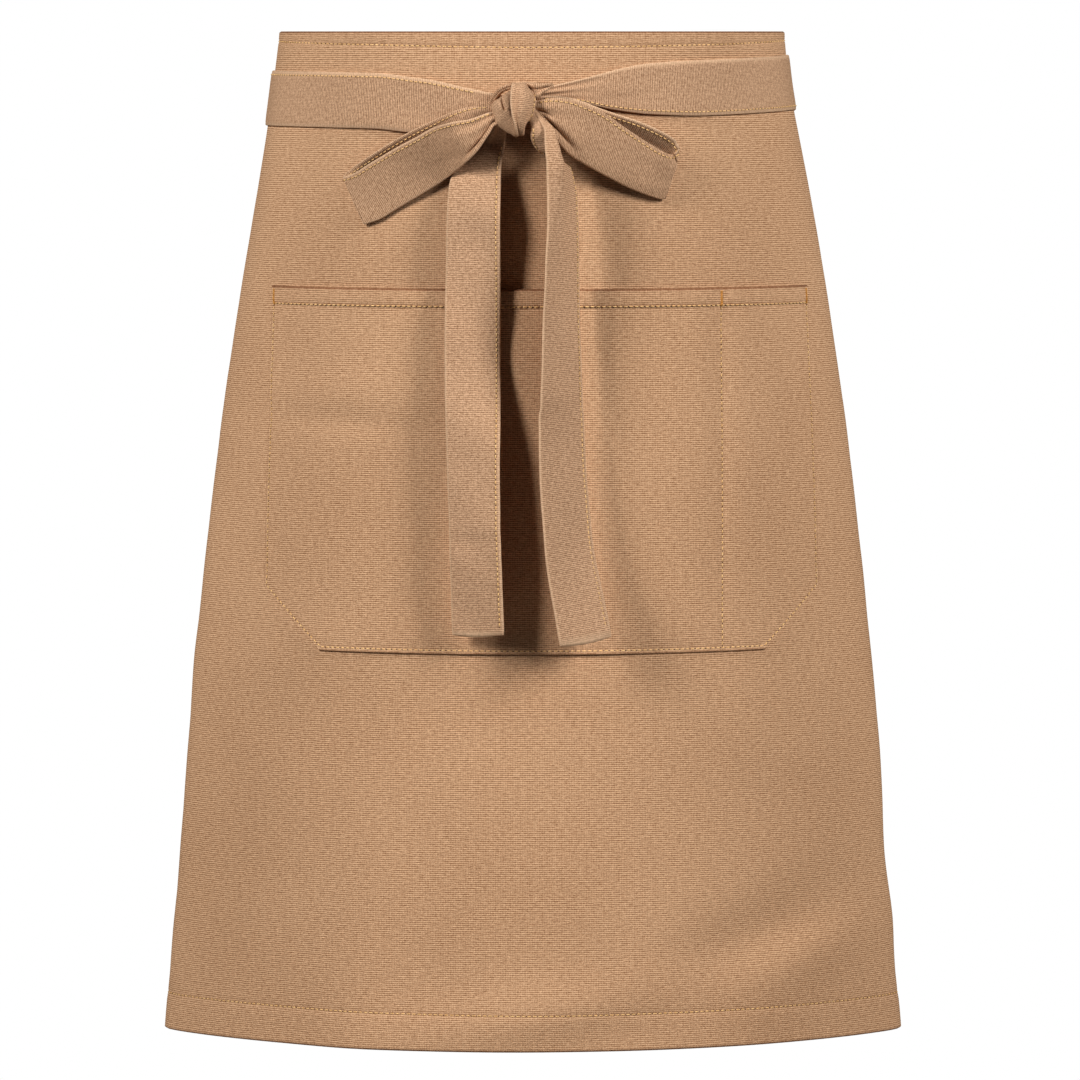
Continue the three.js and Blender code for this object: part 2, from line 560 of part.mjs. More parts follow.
// A tail of the bow, hanging from the knot.
function makeTail(table) {
  const stations = walkTable(table, 3).map((row) => {
    const turn = THREE.MathUtils.degToRad(row.turn);
    return {
      middle: knotCentre
        .clone()
        .add(new THREE.Vector3(row.reach * TIE_WIDTH, -row.out * TIE_WIDTH, -row.fall * TAIL_LENGTH)),
      wide: new THREE.Vector3(Math.cos(turn), Math.sin(turn), 0),
      width: row.gather * TIE_WIDTH,
      hollow: 0,
    };
  });
  return strandGrid(stations, 2);
}

const canvas = new THREE.MeshStandardMaterial({ color: 0xb98f6c, roughness: 0.92, metalness: 0 });
const tieCanvas = new THREE.MeshStandardMaterial({ color: 0xbc9370, roughness: 0.92, metalness: 0 });

const apron = new THREE.Group();
const strands = {
  left_tie: makeTie(LEFT_TIE, -1),
  right_tie: makeTie(RIGHT_TIE, 1),
  left_loop: makeLoop(LEFT_LOOP, -1),
  right_loop: makeLoop(RIGHT_LOOP, 1),
  left_tail: makeTail(LEFT_TAIL),
  right_tail: makeTail(RIGHT_TAIL),
};

function addPiece(name, geometry, material) {
  const mesh = new THREE.Mesh(geometry, material);
  mesh.name = name;
  apron.add(mesh);
}

addPiece("panel", makePanel(), canvas);
addPiece("pocket", makePocket(), canvas);
addPiece("knot", knotGeometry(0), tieCanvas);
for (const [name, grid] of Object.entries(strands)) addPiece(name, seatOnKnot(wallGeometry(grid)), tieCanvas);

export default apron;
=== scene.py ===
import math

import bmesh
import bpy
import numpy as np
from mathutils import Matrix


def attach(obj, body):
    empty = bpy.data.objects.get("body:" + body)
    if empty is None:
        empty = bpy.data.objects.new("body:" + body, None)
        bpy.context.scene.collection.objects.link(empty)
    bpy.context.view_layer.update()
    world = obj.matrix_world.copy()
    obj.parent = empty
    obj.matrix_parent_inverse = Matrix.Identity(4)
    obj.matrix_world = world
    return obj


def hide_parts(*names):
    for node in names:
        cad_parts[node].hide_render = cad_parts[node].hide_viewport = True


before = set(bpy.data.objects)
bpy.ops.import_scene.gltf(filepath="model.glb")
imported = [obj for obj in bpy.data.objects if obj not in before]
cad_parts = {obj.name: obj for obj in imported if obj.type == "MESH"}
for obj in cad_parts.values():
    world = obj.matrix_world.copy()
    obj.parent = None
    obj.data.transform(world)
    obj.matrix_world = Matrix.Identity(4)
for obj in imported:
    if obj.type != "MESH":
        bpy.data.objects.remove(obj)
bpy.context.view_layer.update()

# %% [markdown]
# # A canvas waist apron, tied in front
# The real thing is one panel of firm cotton canvas, hemmed on all four sides, with a patch pocket sewn to its
# front and two flat ties. It is shown as it is worn: the ties cross behind, come round and end in a bow.
# Cloth has no straight edges to extrude, so each piece is a curved sheet that follows the same body shape,
# then gets a thickness, rounded folds, seams that press in, and stitches that are real little shapes.

MM = 0.001
print("frame nodes:", sorted(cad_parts))

# %% [markdown]
# ## The body shape under the cloth
# The panel wraps a waist that is about 300 mm wide, and flares to the hem. At each height its outline is
# nearly an ellipse, drawn here point by point and walked by arc length, so that cloth is never stretched:
# 100 mm along the cloth is 100 mm on the model at any height. Modelling it this way, and not by scaling a
# cylinder, is what keeps the weave, the pocket and the ties true to size.

# %% Sizes of the panel and of the body, in millimetres
APRON_LENGTH = 600
APRON_WIDTH = 700
WAIST_BREADTH = 304
HEM_BREADTH = 444
WAIST_FRONT = 108
HEM_FRONT = 114
WAIST_BACK = 98
HEM_BACK = 112
SIDE_SOFTNESS = 18
FOLD_RELIEF = 7
CONTOUR_SAMPLES = 160

SECTIONS = [
    dict(drop=0, flare=0, depth=0, peak=0),
    dict(drop=0.1, flare=0.118, depth=0.25, peak=0.1),
    dict(drop=0.2, flare=0.27, depth=0.4, peak=0.22),
    dict(drop=0.3, flare=0.415, depth=0.4, peak=0.36),
    dict(drop=0.45, flare=0.587, depth=0.35, peak=0.5),
    dict(drop=0.6, flare=0.722, depth=0.4, peak=0.6),
    dict(drop=0.8, flare=0.862, depth=0.65, peak=0.68),
    dict(drop=1, flare=1, depth=1, peak=0.72),
]


# %% Reading a table on a smooth curve
def read_table(rows, by, column, at):
    """One column of a table at values of another, on a curve that never swings past the rows."""
    x = np.array([row[by] for row in rows], float)
    y = np.array([row[column] for row in rows], float)
    at = np.asarray(at, float)
    step = np.diff(y) / np.diff(x)
    slope = np.concatenate([step[:1], np.zeros(len(x) - 2), step[-1:]])
    both = step[:-1] * step[1:] > 0
    total = np.where(both, step[:-1] + step[1:], 1)
    slope[1:-1] = np.where(both, 2 * step[:-1] * step[1:] / total, 0)
    i = np.clip(np.searchsorted(x, at) - 1, 0, len(x) - 2)
    span = x[i + 1] - x[i]
    t = np.clip((at - x[i]) / span, 0, 1)
    ease = t * t * (3 - 2 * t)
    bend = span * t * (1 - t) * ((1 - t) * slope[i] - t * slope[i + 1])
    return y[i] + (y[i + 1] - y[i]) * ease + bend


def bump(distance, spread):
    """A soft hill of height 1 that fades over the spread."""
    return np.exp(-((np.asarray(distance, float) / spread) ** 2))


def step_up(value, start, width=0.8):
    """A soft step from 0 to 1 at a value."""
    return 1 / (1 + np.exp(np.clip((start - np.asarray(value, float)) / width, -60, 60)))


# %% The outline of the cloth at one height
contours = {}


def contour(drop):
    """(half the length round, a function from arc length to (x, y)) of the panel's outer face."""
    key = round(float(drop), 3)
    if key in contours:
        return contours[key]
    flare, depth, peak = (float(read_table(SECTIONS, "drop", c, drop / APRON_LENGTH)) for c in ("flare", "depth", "peak"))
    breadth = (WAIST_BREADTH + (HEM_BREADTH - WAIST_BREADTH) * flare) / 2
    front = WAIST_FRONT + (HEM_FRONT - WAIST_FRONT) * depth
    back = WAIST_BACK + (HEM_BACK - WAIST_BACK) * depth
    angle = np.pi * np.arange(CONTOUR_SAMPLES + 1) / CONTOUR_SAMPLES
    cosine = np.cos(angle)
    reach = np.sign(cosine) * np.abs(cosine) ** (1 + peak)
    half = np.stack([breadth * np.sin(angle), -reach * np.where(cosine > 0, front, back)], axis=1)
    lengths = np.concatenate([[0], np.cumsum(np.linalg.norm(np.diff(half, axis=0), axis=1))])
    half_length = lengths[-1]

    def raw(across):
        wrapped = across - 2 * half_length * np.round(across / (2 * half_length))
        x = np.interp(np.abs(wrapped), lengths, half[:, 0]) * np.where(wrapped < 0, -1, 1)
        return np.stack([x, np.interp(np.abs(wrapped), lengths, half[:, 1])], axis=-1)

    def soft(across):
        shifts = [(i - 2) / 2 * SIDE_SOFTNESS for i in range(5)]
        return sum(w * raw(np.asarray(across, float) + s) for w, s in zip((1, 2, 3, 2, 1), shifts)) / 9

    stretch = breadth / soft(half_length * np.arange(CONTOUR_SAMPLES + 1) / CONTOUR_SAMPLES)[:, 0].max()
    contours[key] = (half_length, lambda across: soft(across) * np.array([stretch, 1]))
    return contours[key]


print("half way round in mm: waist", round(contour(0)[0]), "hem", round(contour(APRON_LENGTH)[0]))

# %% [markdown]
# ## Folds
# Canvas this firm has few folds, and they are long and shallow: a raking arc near the lower right hem, a soft
# dent across the front under the pocket, and upright waves at the sides. Each is one smooth ridge or valley
# with a place, a length, a width and a tilt. A cloth simulation would give other folds than these, so the
# observed ones are placed one by one.

# %% The panel's folds
FOLDS = [
    dict(across=0.12, drop=0.955, run=0.3, girth=0.03, tilt=11, rise=0.55),
    dict(across=0.4, drop=0.9, run=0.22, girth=0.035, tilt=24, rise=-0.6),
    dict(across=0.52, drop=0.9, run=0.13, girth=0.04, tilt=38, rise=0.25),
    dict(across=-0.42, drop=0.61, run=0.16, girth=0.035, tilt=4, rise=0.15),
    dict(across=-0.36, drop=0.68, run=0.16, girth=0.04, tilt=4, rise=-0.1),
    dict(across=0.72, drop=0.62, run=0.2, girth=0.035, tilt=82, rise=0.1),
    dict(across=0.5, drop=0.05, run=0.14, girth=0.06, tilt=0, rise=-0.35),
    dict(across=-0.6, drop=0.4, run=0.14, girth=0.07, tilt=86, rise=-0.25),
    dict(across=-0.6, drop=0.2, run=0.16, girth=0.03, tilt=84, rise=-0.2),
    dict(across=-0.35, drop=0.352, run=0.13, girth=0.02, tilt=-3, rise=0.1),
    dict(across=-0.33, drop=0.382, run=0.12, girth=0.012, tilt=-3, rise=-0.13),
    dict(across=-0.3, drop=0.97, run=0.14, girth=0.05, tilt=80, rise=0.5),
    dict(across=0.86, drop=0.98, run=0.2, girth=0.045, tilt=86, rise=0.9),
    dict(across=-0.86, drop=0.98, run=0.2, girth=0.045, tilt=94, rise=0.9),
]


def fold_relief(across, drop):
    """How far the folds push the cloth out, in mm."""
    relief = np.zeros_like(across)
    for fold in FOLDS:
        x = across - fold["across"] * APRON_WIDTH / 2
        z = fold["drop"] * APRON_LENGTH - drop
        tilt = math.radians(fold["tilt"])
        along = (x * math.cos(tilt) + z * math.sin(tilt)) / (fold["run"] * APRON_LENGTH)
        beside = (z * math.cos(tilt) - x * math.sin(tilt)) / (fold["girth"] * APRON_LENGTH)
        relief = relief + fold["rise"] * FOLD_RELIEF * np.exp(-along * along - beside * beside)
    return relief


# %% Placing things on the cloth
# The outline at every few millimetres of height, kept as a table, so that thousands of points can be looked up
# at once.
CHART_STEP = 2
chart_arcs = np.arange(-640.0, 641, CHART_STEP)
chart_drops = np.arange(0.0, APRON_LENGTH + 13, 4)
chart = np.array([contour(d)[1](chart_arcs) for d in chart_drops])
chart_along = np.array([contour(d)[1](chart_arcs + 1) - contour(d)[1](chart_arcs - 1) for d in chart_drops])
chart_half = np.array([contour(d)[0] for d in chart_drops])


def look_up(grid, across, drop):
    """Values of a chart between its points."""
    i = np.clip((np.clip(drop, 0, None) / 4), 0, len(chart_drops) - 1.001)
    j = np.clip((across - chart_arcs[0]) / CHART_STEP, 0, len(chart_arcs) - 1.001)
    i0, j0 = i.astype(int), j.astype(int)
    fi, fj = (i - i0)[..., None], (j - j0)[..., None]
    upper = grid[i0, j0] * (1 - fj) + grid[i0, j0 + 1] * fj
    lower = grid[i0 + 1, j0] * (1 - fj) + grid[i0 + 1, j0 + 1] * fj
    return upper * (1 - fi) + lower * fi


def half_round(drop):
    """Half the length round the body at a drop."""
    return np.interp(drop, chart_drops, chart_half)


def place(across, drop, out=0):
    """Points over the panel: an arc length from the middle, a drop below the top, and a distance out, in mm."""
    across, drop, out = np.broadcast_arrays(*(np.asarray(v, float) for v in (across, drop, out)))
    point = look_up(chart, across, drop)
    along = look_up(chart_along, across, drop)
    outward = np.stack([along[..., 1], -along[..., 0]], axis=-1)
    outward /= np.linalg.norm(outward, axis=-1, keepdims=True)
    turn = 2 * half_round(drop)
    point = point + outward * (out + fold_relief(across - turn * np.round(across / turn), drop))[..., None]
    return np.concatenate([point, -drop[..., None]], axis=-1)


print("chart of the body shape:", chart.shape)

# %% [markdown]
# ## From a curved sheet to a piece of cloth
# A sheet is a grid of points for the outer face and one for the inner face. The two are joined by a rim with
# a row of points of its own, pushed out a little, so that a folded edge is round and catches the light, which
# a plain Solidify leaves square. The sheet's own UV map is in real metres, so the weave follows the cloth, and
# an attribute marks the folded edges, where the canvas gets a painted edge tone: painted shade on the panel
# and pocket, and on the ties a painted highlight together with the paler fibres of handled cotton.


# %% Building one closed cloth wall
def grid_normals(points):
    """Unit normals of a grid of points."""
    down = np.gradient(points, axis=0)
    over = np.gradient(points, axis=1)
    normal = np.cross(over, down)
    return normal / np.maximum(np.linalg.norm(normal, axis=-1, keepdims=True), 1e-9)


def rim_ring(rows, columns):
    """Grid indices round the edge of a grid, in order."""
    top = [(0, c) for c in range(columns)]
    right = [(r, columns - 1) for r in range(1, rows)]
    bottom = [(rows - 1, c) for c in range(columns - 2, -1, -1)]
    left = [(r, 0) for r in range(rows - 2, 0, -1)]
    return top + right + bottom + left


def cloth_piece(name, outer, inner, uv, roundness=0.4):
    """A closed wall between two grids of points in mm, with a rounded rim and the cloth's own UV map."""
    rows, columns = outer.shape[:2]
    count = rows * columns
    ring = rim_ring(rows, columns)
    middle = (outer + inner) / 2
    thick = np.linalg.norm(outer - inner, axis=-1)
    rim = []
    for r, c in ring:
        inward_r = min(max(r, 1), rows - 2)
        inward_c = min(max(c, 1), columns - 2)
        away = middle[r, c] - middle[inward_r, inward_c]
        away /= max(np.linalg.norm(away), 1e-9)
        rim.append(middle[r, c] + away * thick[r, c] * roundness)
    points = np.concatenate([outer.reshape(-1, 3), inner.reshape(-1, 3), np.array(rim)]) * MM
    index = np.arange(count).reshape(rows, columns)
    a, b, c, d = index[:-1, :-1], index[1:, :-1], index[1:, 1:], index[:-1, 1:]
    faces = [np.stack([a, b, c, d], axis=-1).reshape(-1, 4), np.stack([a, d, c, b], axis=-1).reshape(-1, 4) + count]
    edge = np.array([index[r, c] for r, c in ring])
    following = np.roll(edge, -1)
    rim_index = np.arange(len(ring)) + 2 * count
    rim_next = np.roll(rim_index, -1)
    faces.append(np.stack([edge, following, rim_next, rim_index], axis=-1))
    faces.append(np.stack([rim_index, rim_next, following + count, edge + count], axis=-1))
    mesh = bpy.data.meshes.new(name)
    mesh.from_pydata(points.tolist(), [], np.concatenate(faces).tolist())
    flat = np.concatenate([uv.reshape(-1, 2), uv.reshape(-1, 2), np.array([uv[r, c] for r, c in ring])]) * MM
    corner = np.empty(len(mesh.loops), np.int32)
    mesh.loops.foreach_get("vertex_index", corner)
    layer = mesh.uv_layers.new(name="cloth")
    layer.data.foreach_set("uv", flat[corner].ravel())
    folded = mesh.attributes.new("folded_edge", "FLOAT", "POINT")
    share = np.zeros(len(points))
    share[2 * count:] = 1
    share[edge] = 0.8
    folded.data.foreach_set("value", share)
    return finish_piece(name, mesh)


def finish_piece(name, mesh):
    """Turns a mesh's faces outward, smooths it, and adds it to the scene as an object."""
    shape = bmesh.new()
    shape.from_mesh(mesh)
    bmesh.ops.recalc_face_normals(shape, faces=shape.faces)
    if shape.calc_volume(signed=True) < 0:
        bmesh.ops.reverse_faces(shape, faces=shape.faces)
    shape.to_mesh(mesh)
    shape.free()
    mesh.polygons.foreach_set("use_smooth", [True] * len(mesh.polygons))
    piece = bpy.data.objects.new(name, mesh)
    bpy.context.scene.collection.objects.link(piece)
    return piece


# %% [markdown]
# ## Canvas
# The real cloth is a cotton rib canvas, plain woven with thick crosswise yarns, so it shows fine ribs about
# 1.2 mm apart, running across the panel and across each strap. Yarns are uneven: a rib swells and thins and
# some are paler. The colour, the bump and the dull fuzzy sheen all follow those ribs. Its pattern reads the
# sheet's own UV map in metres, because on Object coordinates the ribs would run off the folded cloth.


# %% One function for colours and one for nodes
def linear(hex_code):
    """An sRGB hex colour as the linear colour that shaders use."""
    channels = [int(hex_code[i:i + 2], 16) / 255 for i in (1, 3, 5)]
    return tuple(v / 12.92 if v <= 0.04045 else ((v + 0.055) / 1.055) ** 2.4 for v in channels) + (1,)


def add_node(tree, kind, links=None, **settings):
    """Adds a node, sets its properties or sockets, and links its inputs: {"Input": other_node.outputs[...]}."""
    node = tree.nodes.new(kind)
    for key, value in settings.items():
        if key in node.bl_rna.properties:
            setattr(node, key, value)
        else:
            node.inputs[key.replace("_", " ")].default_value = value
    for key, source in (links or {}).items():
        tree.links.new(source, node.inputs[key])
    return node


def new_material(name):
    """An empty node material with a shader and an output."""
    material = bpy.data.materials.new(name)
    material.use_nodes = True
    tree = material.node_tree
    tree.nodes.clear()
    shader = add_node(tree, "ShaderNodeBsdfPrincipled")
    add_node(tree, "ShaderNodeOutputMaterial", {"Surface": shader.outputs["BSDF"]})
    return material, tree, shader


# %% Cotton rib canvas
WAVE_PERIOD = math.pi / 10


def rib_canvas(name, pale, mid, deep, painted_edge_tone, rib_spacing, rib_depth, unevenness, spread_of_tone, fineness):
    """Woven cotton with ribs along U. Spacing and depth are real millimetres, unevenness is the share of the yarns'
    own irregularity against the regular ribs, spread of tone how soon it reaches its palest and deepest, and
    fineness is the yarns' flecks per metre along them."""
    material, tree, shader = new_material(name)
    uv = add_node(tree, "ShaderNodeUVMap", uv_map="cloth").outputs["UV"]

    def stretched(scale_u, scale_v):
        return add_node(tree, "ShaderNodeMapping", {"Vector": uv}, Scale=(scale_u, scale_v, 1)).outputs["Vector"]

    ribs = add_node(
        tree, "ShaderNodeTexWave", {"Vector": stretched(1, 1)}, wave_type="BANDS", bands_direction="Y",
        Scale=WAVE_PERIOD / (rib_spacing * MM), Distortion=1.8, Detail=2.0, Detail_Scale=0.7, Detail_Roughness=0.6,
    ).outputs["Fac"]
    warps = add_node(
        tree, "ShaderNodeTexWave", {"Vector": stretched(1, 1)}, wave_type="BANDS", bands_direction="X",
        Scale=WAVE_PERIOD / (rib_spacing * 0.8 * MM), Distortion=2.5, Detail=2.0, Detail_Scale=1.2,
    ).outputs["Fac"]
    slubs = add_node(tree, "ShaderNodeTexNoise", {"Vector": stretched(fineness, 850)}, Scale=1.0, Detail=3.0, Roughness=0.65)
    nubs = add_node(tree, "ShaderNodeTexNoise", {"Vector": stretched(3 * fineness, 1150)}, Scale=1.0, Detail=2.0, Roughness=0.7)
    cloudy = add_node(tree, "ShaderNodeTexNoise", {"Vector": stretched(9, 11)}, Scale=1.0, Detail=3.0, Roughness=0.5)

    def blend(first, second, share):
        node = add_node(tree, "ShaderNodeMix", {"A": first, "B": second}, data_type="FLOAT")
        node.inputs["Factor"].default_value = share
        return node.outputs["Result"]

    weave = blend(ribs, warps, 0.3)
    yarns = blend(slubs.outputs["Fac"], nubs.outputs["Fac"], 0.5)
    surface = blend(weave, yarns, unevenness)
    tone = blend(surface, cloudy.outputs["Fac"], 0.07)
    ramp = add_node(tree, "ShaderNodeValToRGB", {"Fac": tone})
    ramp.color_ramp.elements[0].position = 0.5 - spread_of_tone
    ramp.color_ramp.elements[0].color = linear(deep)
    ramp.color_ramp.elements[1].position = 0.5 + spread_of_tone
    ramp.color_ramp.elements[1].color = linear(pale)
    middle = ramp.color_ramp.elements.new(0.5)
    middle.color = linear(mid)
    relief = add_node(tree, "ShaderNodeBump", {"Height": surface}, Strength=1.0, Distance=rib_depth * MM)
    # Painted edge tone: along the folded edges the colour is mixed towards the edge tone, which is painted shade on the
    # panel and pocket and a painted highlight on the ties.
    edge = add_node(tree, "ShaderNodeAttribute", attribute_name="folded_edge").outputs["Fac"]
    painted_edge_share = add_node(tree, "ShaderNodeMath", {0: edge}, operation="MULTIPLY")
    painted_edge_share.inputs[1].default_value = 0.6
    painted_edge_mix = add_node(tree, "ShaderNodeMix", {"Factor": painted_edge_share.outputs[0]}, data_type="RGBA")
    tree.links.new(ramp.outputs["Color"], painted_edge_mix.inputs[6])
    painted_edge_mix.inputs[7].default_value = linear(painted_edge_tone)
    tree.links.new(painted_edge_mix.outputs[2], shader.inputs["Base Color"])
    tree.links.new(relief.outputs["Normal"], shader.inputs["Normal"])
    rough = add_node(tree, "ShaderNodeMapRange", {"Value": yarns}, To_Min=0.82, To_Max=0.97)
    tree.links.new(rough.outputs["Result"], shader.inputs["Roughness"])
    shader.inputs["IOR"].default_value = 1.5
    shader.inputs["Specular IOR Level"].default_value = 0.18
    shader.inputs["Sheen Weight"].default_value = 0.12
    shader.inputs["Sheen Roughness"].default_value = 0.5
    shader.inputs["Sheen Tint"].default_value = linear("#E9CFAE")
    return material


# The body canvas's dark edge tone is painted shade along the panel's and pocket's edges; the tie canvas's pale one is a
# painted highlight on the ties' edges, with the paler fibres of handled cotton.
body_canvas = rib_canvas("cotton_rib_canvas_tan", "#E4BF9B", "#C19B7A", "#8D6545", "#6E442C", 1.22, 0.22, 0.7, 0.15, 270)
tie_canvas = rib_canvas("cotton_rib_canvas_tie", "#DDB999", "#BA9779", "#886549", "#E0C0A0", 1.1, 0.17, 0.76, 0.115, 400)
print("canvas materials:", body_canvas.name, tie_canvas.name)


# %% Cotton-wrapped sewing thread
def sewing_thread(name, colour, shade):
    """Twisted thread: a slight twist in its tone, smoother and shinier than the canvas."""
    material, tree, shader = new_material(name)
    where = add_node(tree, "ShaderNodeTexCoord").outputs["Object"]
    twist = add_node(tree, "ShaderNodeTexNoise", {"Vector": where}, Scale=1400.0, Detail=2.0)
    ramp = add_node(tree, "ShaderNodeValToRGB", {"Fac": twist.outputs["Fac"]})
    ramp.color_ramp.elements[0].position = 0.35
    ramp.color_ramp.elements[0].color = linear(shade)
    ramp.color_ramp.elements[1].position = 0.65
    ramp.color_ramp.elements[1].color = linear(colour)
    relief = add_node(tree, "ShaderNodeBump", {"Height": twist.outputs["Fac"]}, Strength=0.6, Distance=0.1 * MM)
    tree.links.new(ramp.outputs["Color"], shader.inputs["Base Color"])
    tree.links.new(relief.outputs["Normal"], shader.inputs["Normal"])
    shader.inputs["Roughness"].default_value = 0.55
    shader.inputs["Specular IOR Level"].default_value = 0.35
    return material


thread = sewing_thread("polyester_thread_golden_tan", "#EFCF98", "#D1A56C")
# Painted shade: this dark colour on the small discs between stitches stands for the shade inside the needle holes.
needle_hole_shade = sewing_thread("painted_shade_in_needle_holes", "#68432A", "#523320")
bartack_thread = sewing_thread("polyester_thread_amber", "#DFA75A", "#B67D38")


# %% Handing a finished piece to the frame
def hand_over(piece, material, *nodes):
    """Gives a piece its material and its body, and hides the frame's parts that it stands for."""
    piece.data.materials.clear()
    piece.data.materials.append(material)
    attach(piece, "root")
    if nodes:
        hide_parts(*nodes)
    print(piece.name, "faces:", len(piece.data.polygons))
    return piece


# %% [markdown]
# ## Stitches
# A lockstitch row shows as short separate stitches, each dipping into the cloth at both ends, with a needle
# hole between. A painted dashed line would not dip or catch light. One stitch is modelled from a small
# sphere, stretched and bowed, and copied along each seam. It has under fifty faces, because there are
# thousands. The shade inside each needle hole is painted: a small dark disc between the stitches.

# %% One stitch
STITCH_PITCH = 3.3
STITCH_LENGTH = 2.6
STITCH_GIRTH = 0.74
bpy.ops.object.select_all(action="DESELECT")
bpy.ops.mesh.primitive_uv_sphere_add(segments=6, ring_count=6, radius=0.5)
master_stitch = bpy.context.object
bpy.ops.object.mode_set(mode="EDIT")
bpy.ops.mesh.select_all(action="SELECT")
bpy.ops.transform.rotate(value=math.pi / 2, orient_axis="Y", center_override=(0, 0, 0))
bpy.ops.object.mode_set(mode="OBJECT")
stitch_points = np.array([v.co[:] for v in master_stitch.data.vertices])
stitch_points[:, 0] = np.sign(stitch_points[:, 0]) * (np.abs(stitch_points[:, 0]) * 2) ** 0.8 / 2
stitch_points *= (STITCH_LENGTH, STITCH_GIRTH, STITCH_GIRTH)
stitch_points[:, 2] -= 0.5 * (stitch_points[:, 0] / STITCH_LENGTH * 2) ** 2 * STITCH_GIRTH
stitch_faces = [tuple(p.vertices) for p in master_stitch.data.polygons]
bpy.data.objects.remove(master_stitch)
print("one stitch:", len(stitch_faces), "faces")


# %% A row of stitches along a line on the cloth
def resample(path, normals, pitch):
    """Centres, directions and normals at an even pitch along a line."""
    lengths = np.concatenate([[0], np.cumsum(np.linalg.norm(np.diff(path, axis=0), axis=1))])
    count = max(1, int(lengths[-1] / pitch))
    at = (np.arange(count) + 0.5) * lengths[-1] / count
    pick = lambda values, where: np.stack([np.interp(where, lengths, values[:, k]) for k in range(3)], axis=1)
    ahead = pick(path, at + 0.8) - pick(path, at - 0.8)
    return pick(path, at), ahead / np.linalg.norm(ahead, axis=1, keepdims=True), pick(normals, at)


def stitch_row(name, lines, material, pitch=STITCH_PITCH, scale=(1, 1, 1), turn=0.0, rise=0.12, holes=True):
    """Stitches along lines of (path, normals) in mm, and small dark discs of painted shade for the needle holes
    between them. Turn swings each stitch, in degrees."""
    points, faces, hole_shade_discs = [], [], []
    spokes = np.radians(np.arange(0, 360, 60))
    for path, normals in lines:
        centres, along, up = resample(np.asarray(path, float), np.asarray(normals, float), pitch)
        up = up - along * np.sum(up * along, axis=1, keepdims=True)
        up /= np.linalg.norm(up, axis=1, keepdims=True)
        side = np.cross(up, along)
        swing = math.radians(turn)
        along, side = along * math.cos(swing) + side * math.sin(swing), side * math.cos(swing) - along * math.sin(swing)
        local = stitch_points * scale
        for centre, a, s, u in zip(centres, along, side, up):
            base = len(points) * len(local)
            points.append(centre + local[:, :1] * a + local[:, 1:2] * s + (local[:, 2:] + rise) * u)
            faces.extend(tuple(v + base for v in face) for face in stitch_faces)
            # Each needle hole is a small dark disc of painted shade.
            if holes:
                ahead = centre + a * (pitch / 2)
                rim = [ahead + 0.3 * (math.cos(k) * a * 1.3 + math.sin(k) * s) + 0.06 * u for k in spokes]
                hole_shade_discs.append(np.array(rim + [ahead + 0.02 * u, ahead - 0.1 * u]))
    mesh = bpy.data.meshes.new(name)
    mesh.from_pydata((np.concatenate(points) * MM).tolist(), [], faces)
    piece = finish_piece(name, mesh)
    hand_over(piece, material)
    print(name, "stitches:", len(points))
    if not holes:
        return [piece]
    ring = [(k, (k + 1) % 6, 6) for k in range(6)] + [((k + 1) % 6, k, 7) for k in range(6)]
    mesh = bpy.data.meshes.new("painted_hole_shade_" + name)
    faces = [tuple(v + 8 * n for v in face) for n in range(len(hole_shade_discs)) for face in ring]
    mesh.from_pydata((np.concatenate(hole_shade_discs) * MM).tolist(), [], faces)
    return [piece, hand_over(finish_piece("painted_hole_shade_" + name, mesh), needle_hole_shade)]


# %% [markdown]
# ## The panel
# One width of canvas, 700 by 600 mm, with a narrow hem at the top, a wide one at the bottom and turned side
# edges. The hems are folded to the inside, so outside they show only as a stitched line that presses into
# the cloth, with small puckers beside it. The grid is finer at those lines than between them.

# %% Hems and stitch lines of the panel
CLOTH_THICKNESS = 1.2
HEM_THICKNESS = 2
TOP_HEM = 9
BOTTOM_HEM = 21
SIDE_HEM = 12
HALF_WIDTH = APRON_WIDTH / 2
TOP_LINE = [
    dict(across=-1, drop=5.5), dict(across=-0.6, drop=5.2), dict(across=-0.3, drop=7), dict(across=0, drop=8.7),
    dict(across=0.3, drop=7.2), dict(across=0.6, drop=4.6), dict(across=1, drop=4.6),
]


def top_line(across):
    """How far the top hem's stitches lie below the fold, in mm."""
    return read_table(TOP_LINE, "across", "drop", np.asarray(across) / HALF_WIDTH)


def seam_press(distance, along, seed):
    """The groove of a stitched line and the puckers beside it, in mm, at a distance from the line."""
    wobble = 0.5 + 0.5 * np.sin(along / 5.3 + seed) * np.sin(along / 8.9 + 2.1 * seed + 0.6)
    pucker = bump(distance, 6) * 0.2 * (np.sin(along / 2.9 + seed) * 0.5 + wobble - 0.5)
    return pucker - 0.35 * bump(distance, 1.1)


def hand_waves(across, drop):
    """Faint unevenness of cloth that hangs free, in mm."""
    return (
        0.22 * np.sin(across / 31 + drop / 83 + 0.7)
        + 0.2 * np.sin(drop / 27 - across / 71 + 2.0)
        + 0.18 * np.sin(across / 13.7 - drop / 47 + 4.1) * np.sin(drop / 19.3 + across / 59)
    )


def panel_relief(across, drop):
    """Everything that lifts or presses the panel's outer face, folds aside, in mm."""
    bottom = APRON_LENGTH - BOTTOM_HEM
    side = HALF_WIDTH - SIDE_HEM
    from_top = drop - top_line(across)
    relief = hand_waves(across, drop) * (1 - bump(drop, 40))
    relief = relief + seam_press(from_top, across, 0.4) + seam_press(drop - bottom, across, 1.7)
    relief = relief + 0.3 * step_up(drop, bottom + 2, 1.5) + 0.2 * (1 - step_up(from_top, -2, 1.2))
    return relief + seam_press(np.abs(across) - side, drop, 2.9)


# %% The panel's grid
def stops_with(lines, start, end, step, fine=(-3, -1.6, -0.8, 0, 0.8, 1.6, 3)):
    """Even stops, with closer ones at the given lines."""
    stops = list(np.linspace(start, end, int(round((end - start) / step)) + 1))
    near = [line + f for line in lines for f in fine if start < line + f < end]
    kept = [s for s in stops if s in (start, end) or all(abs(s - n) > 1.2 for n in near)]
    return np.array(sorted(kept + near))


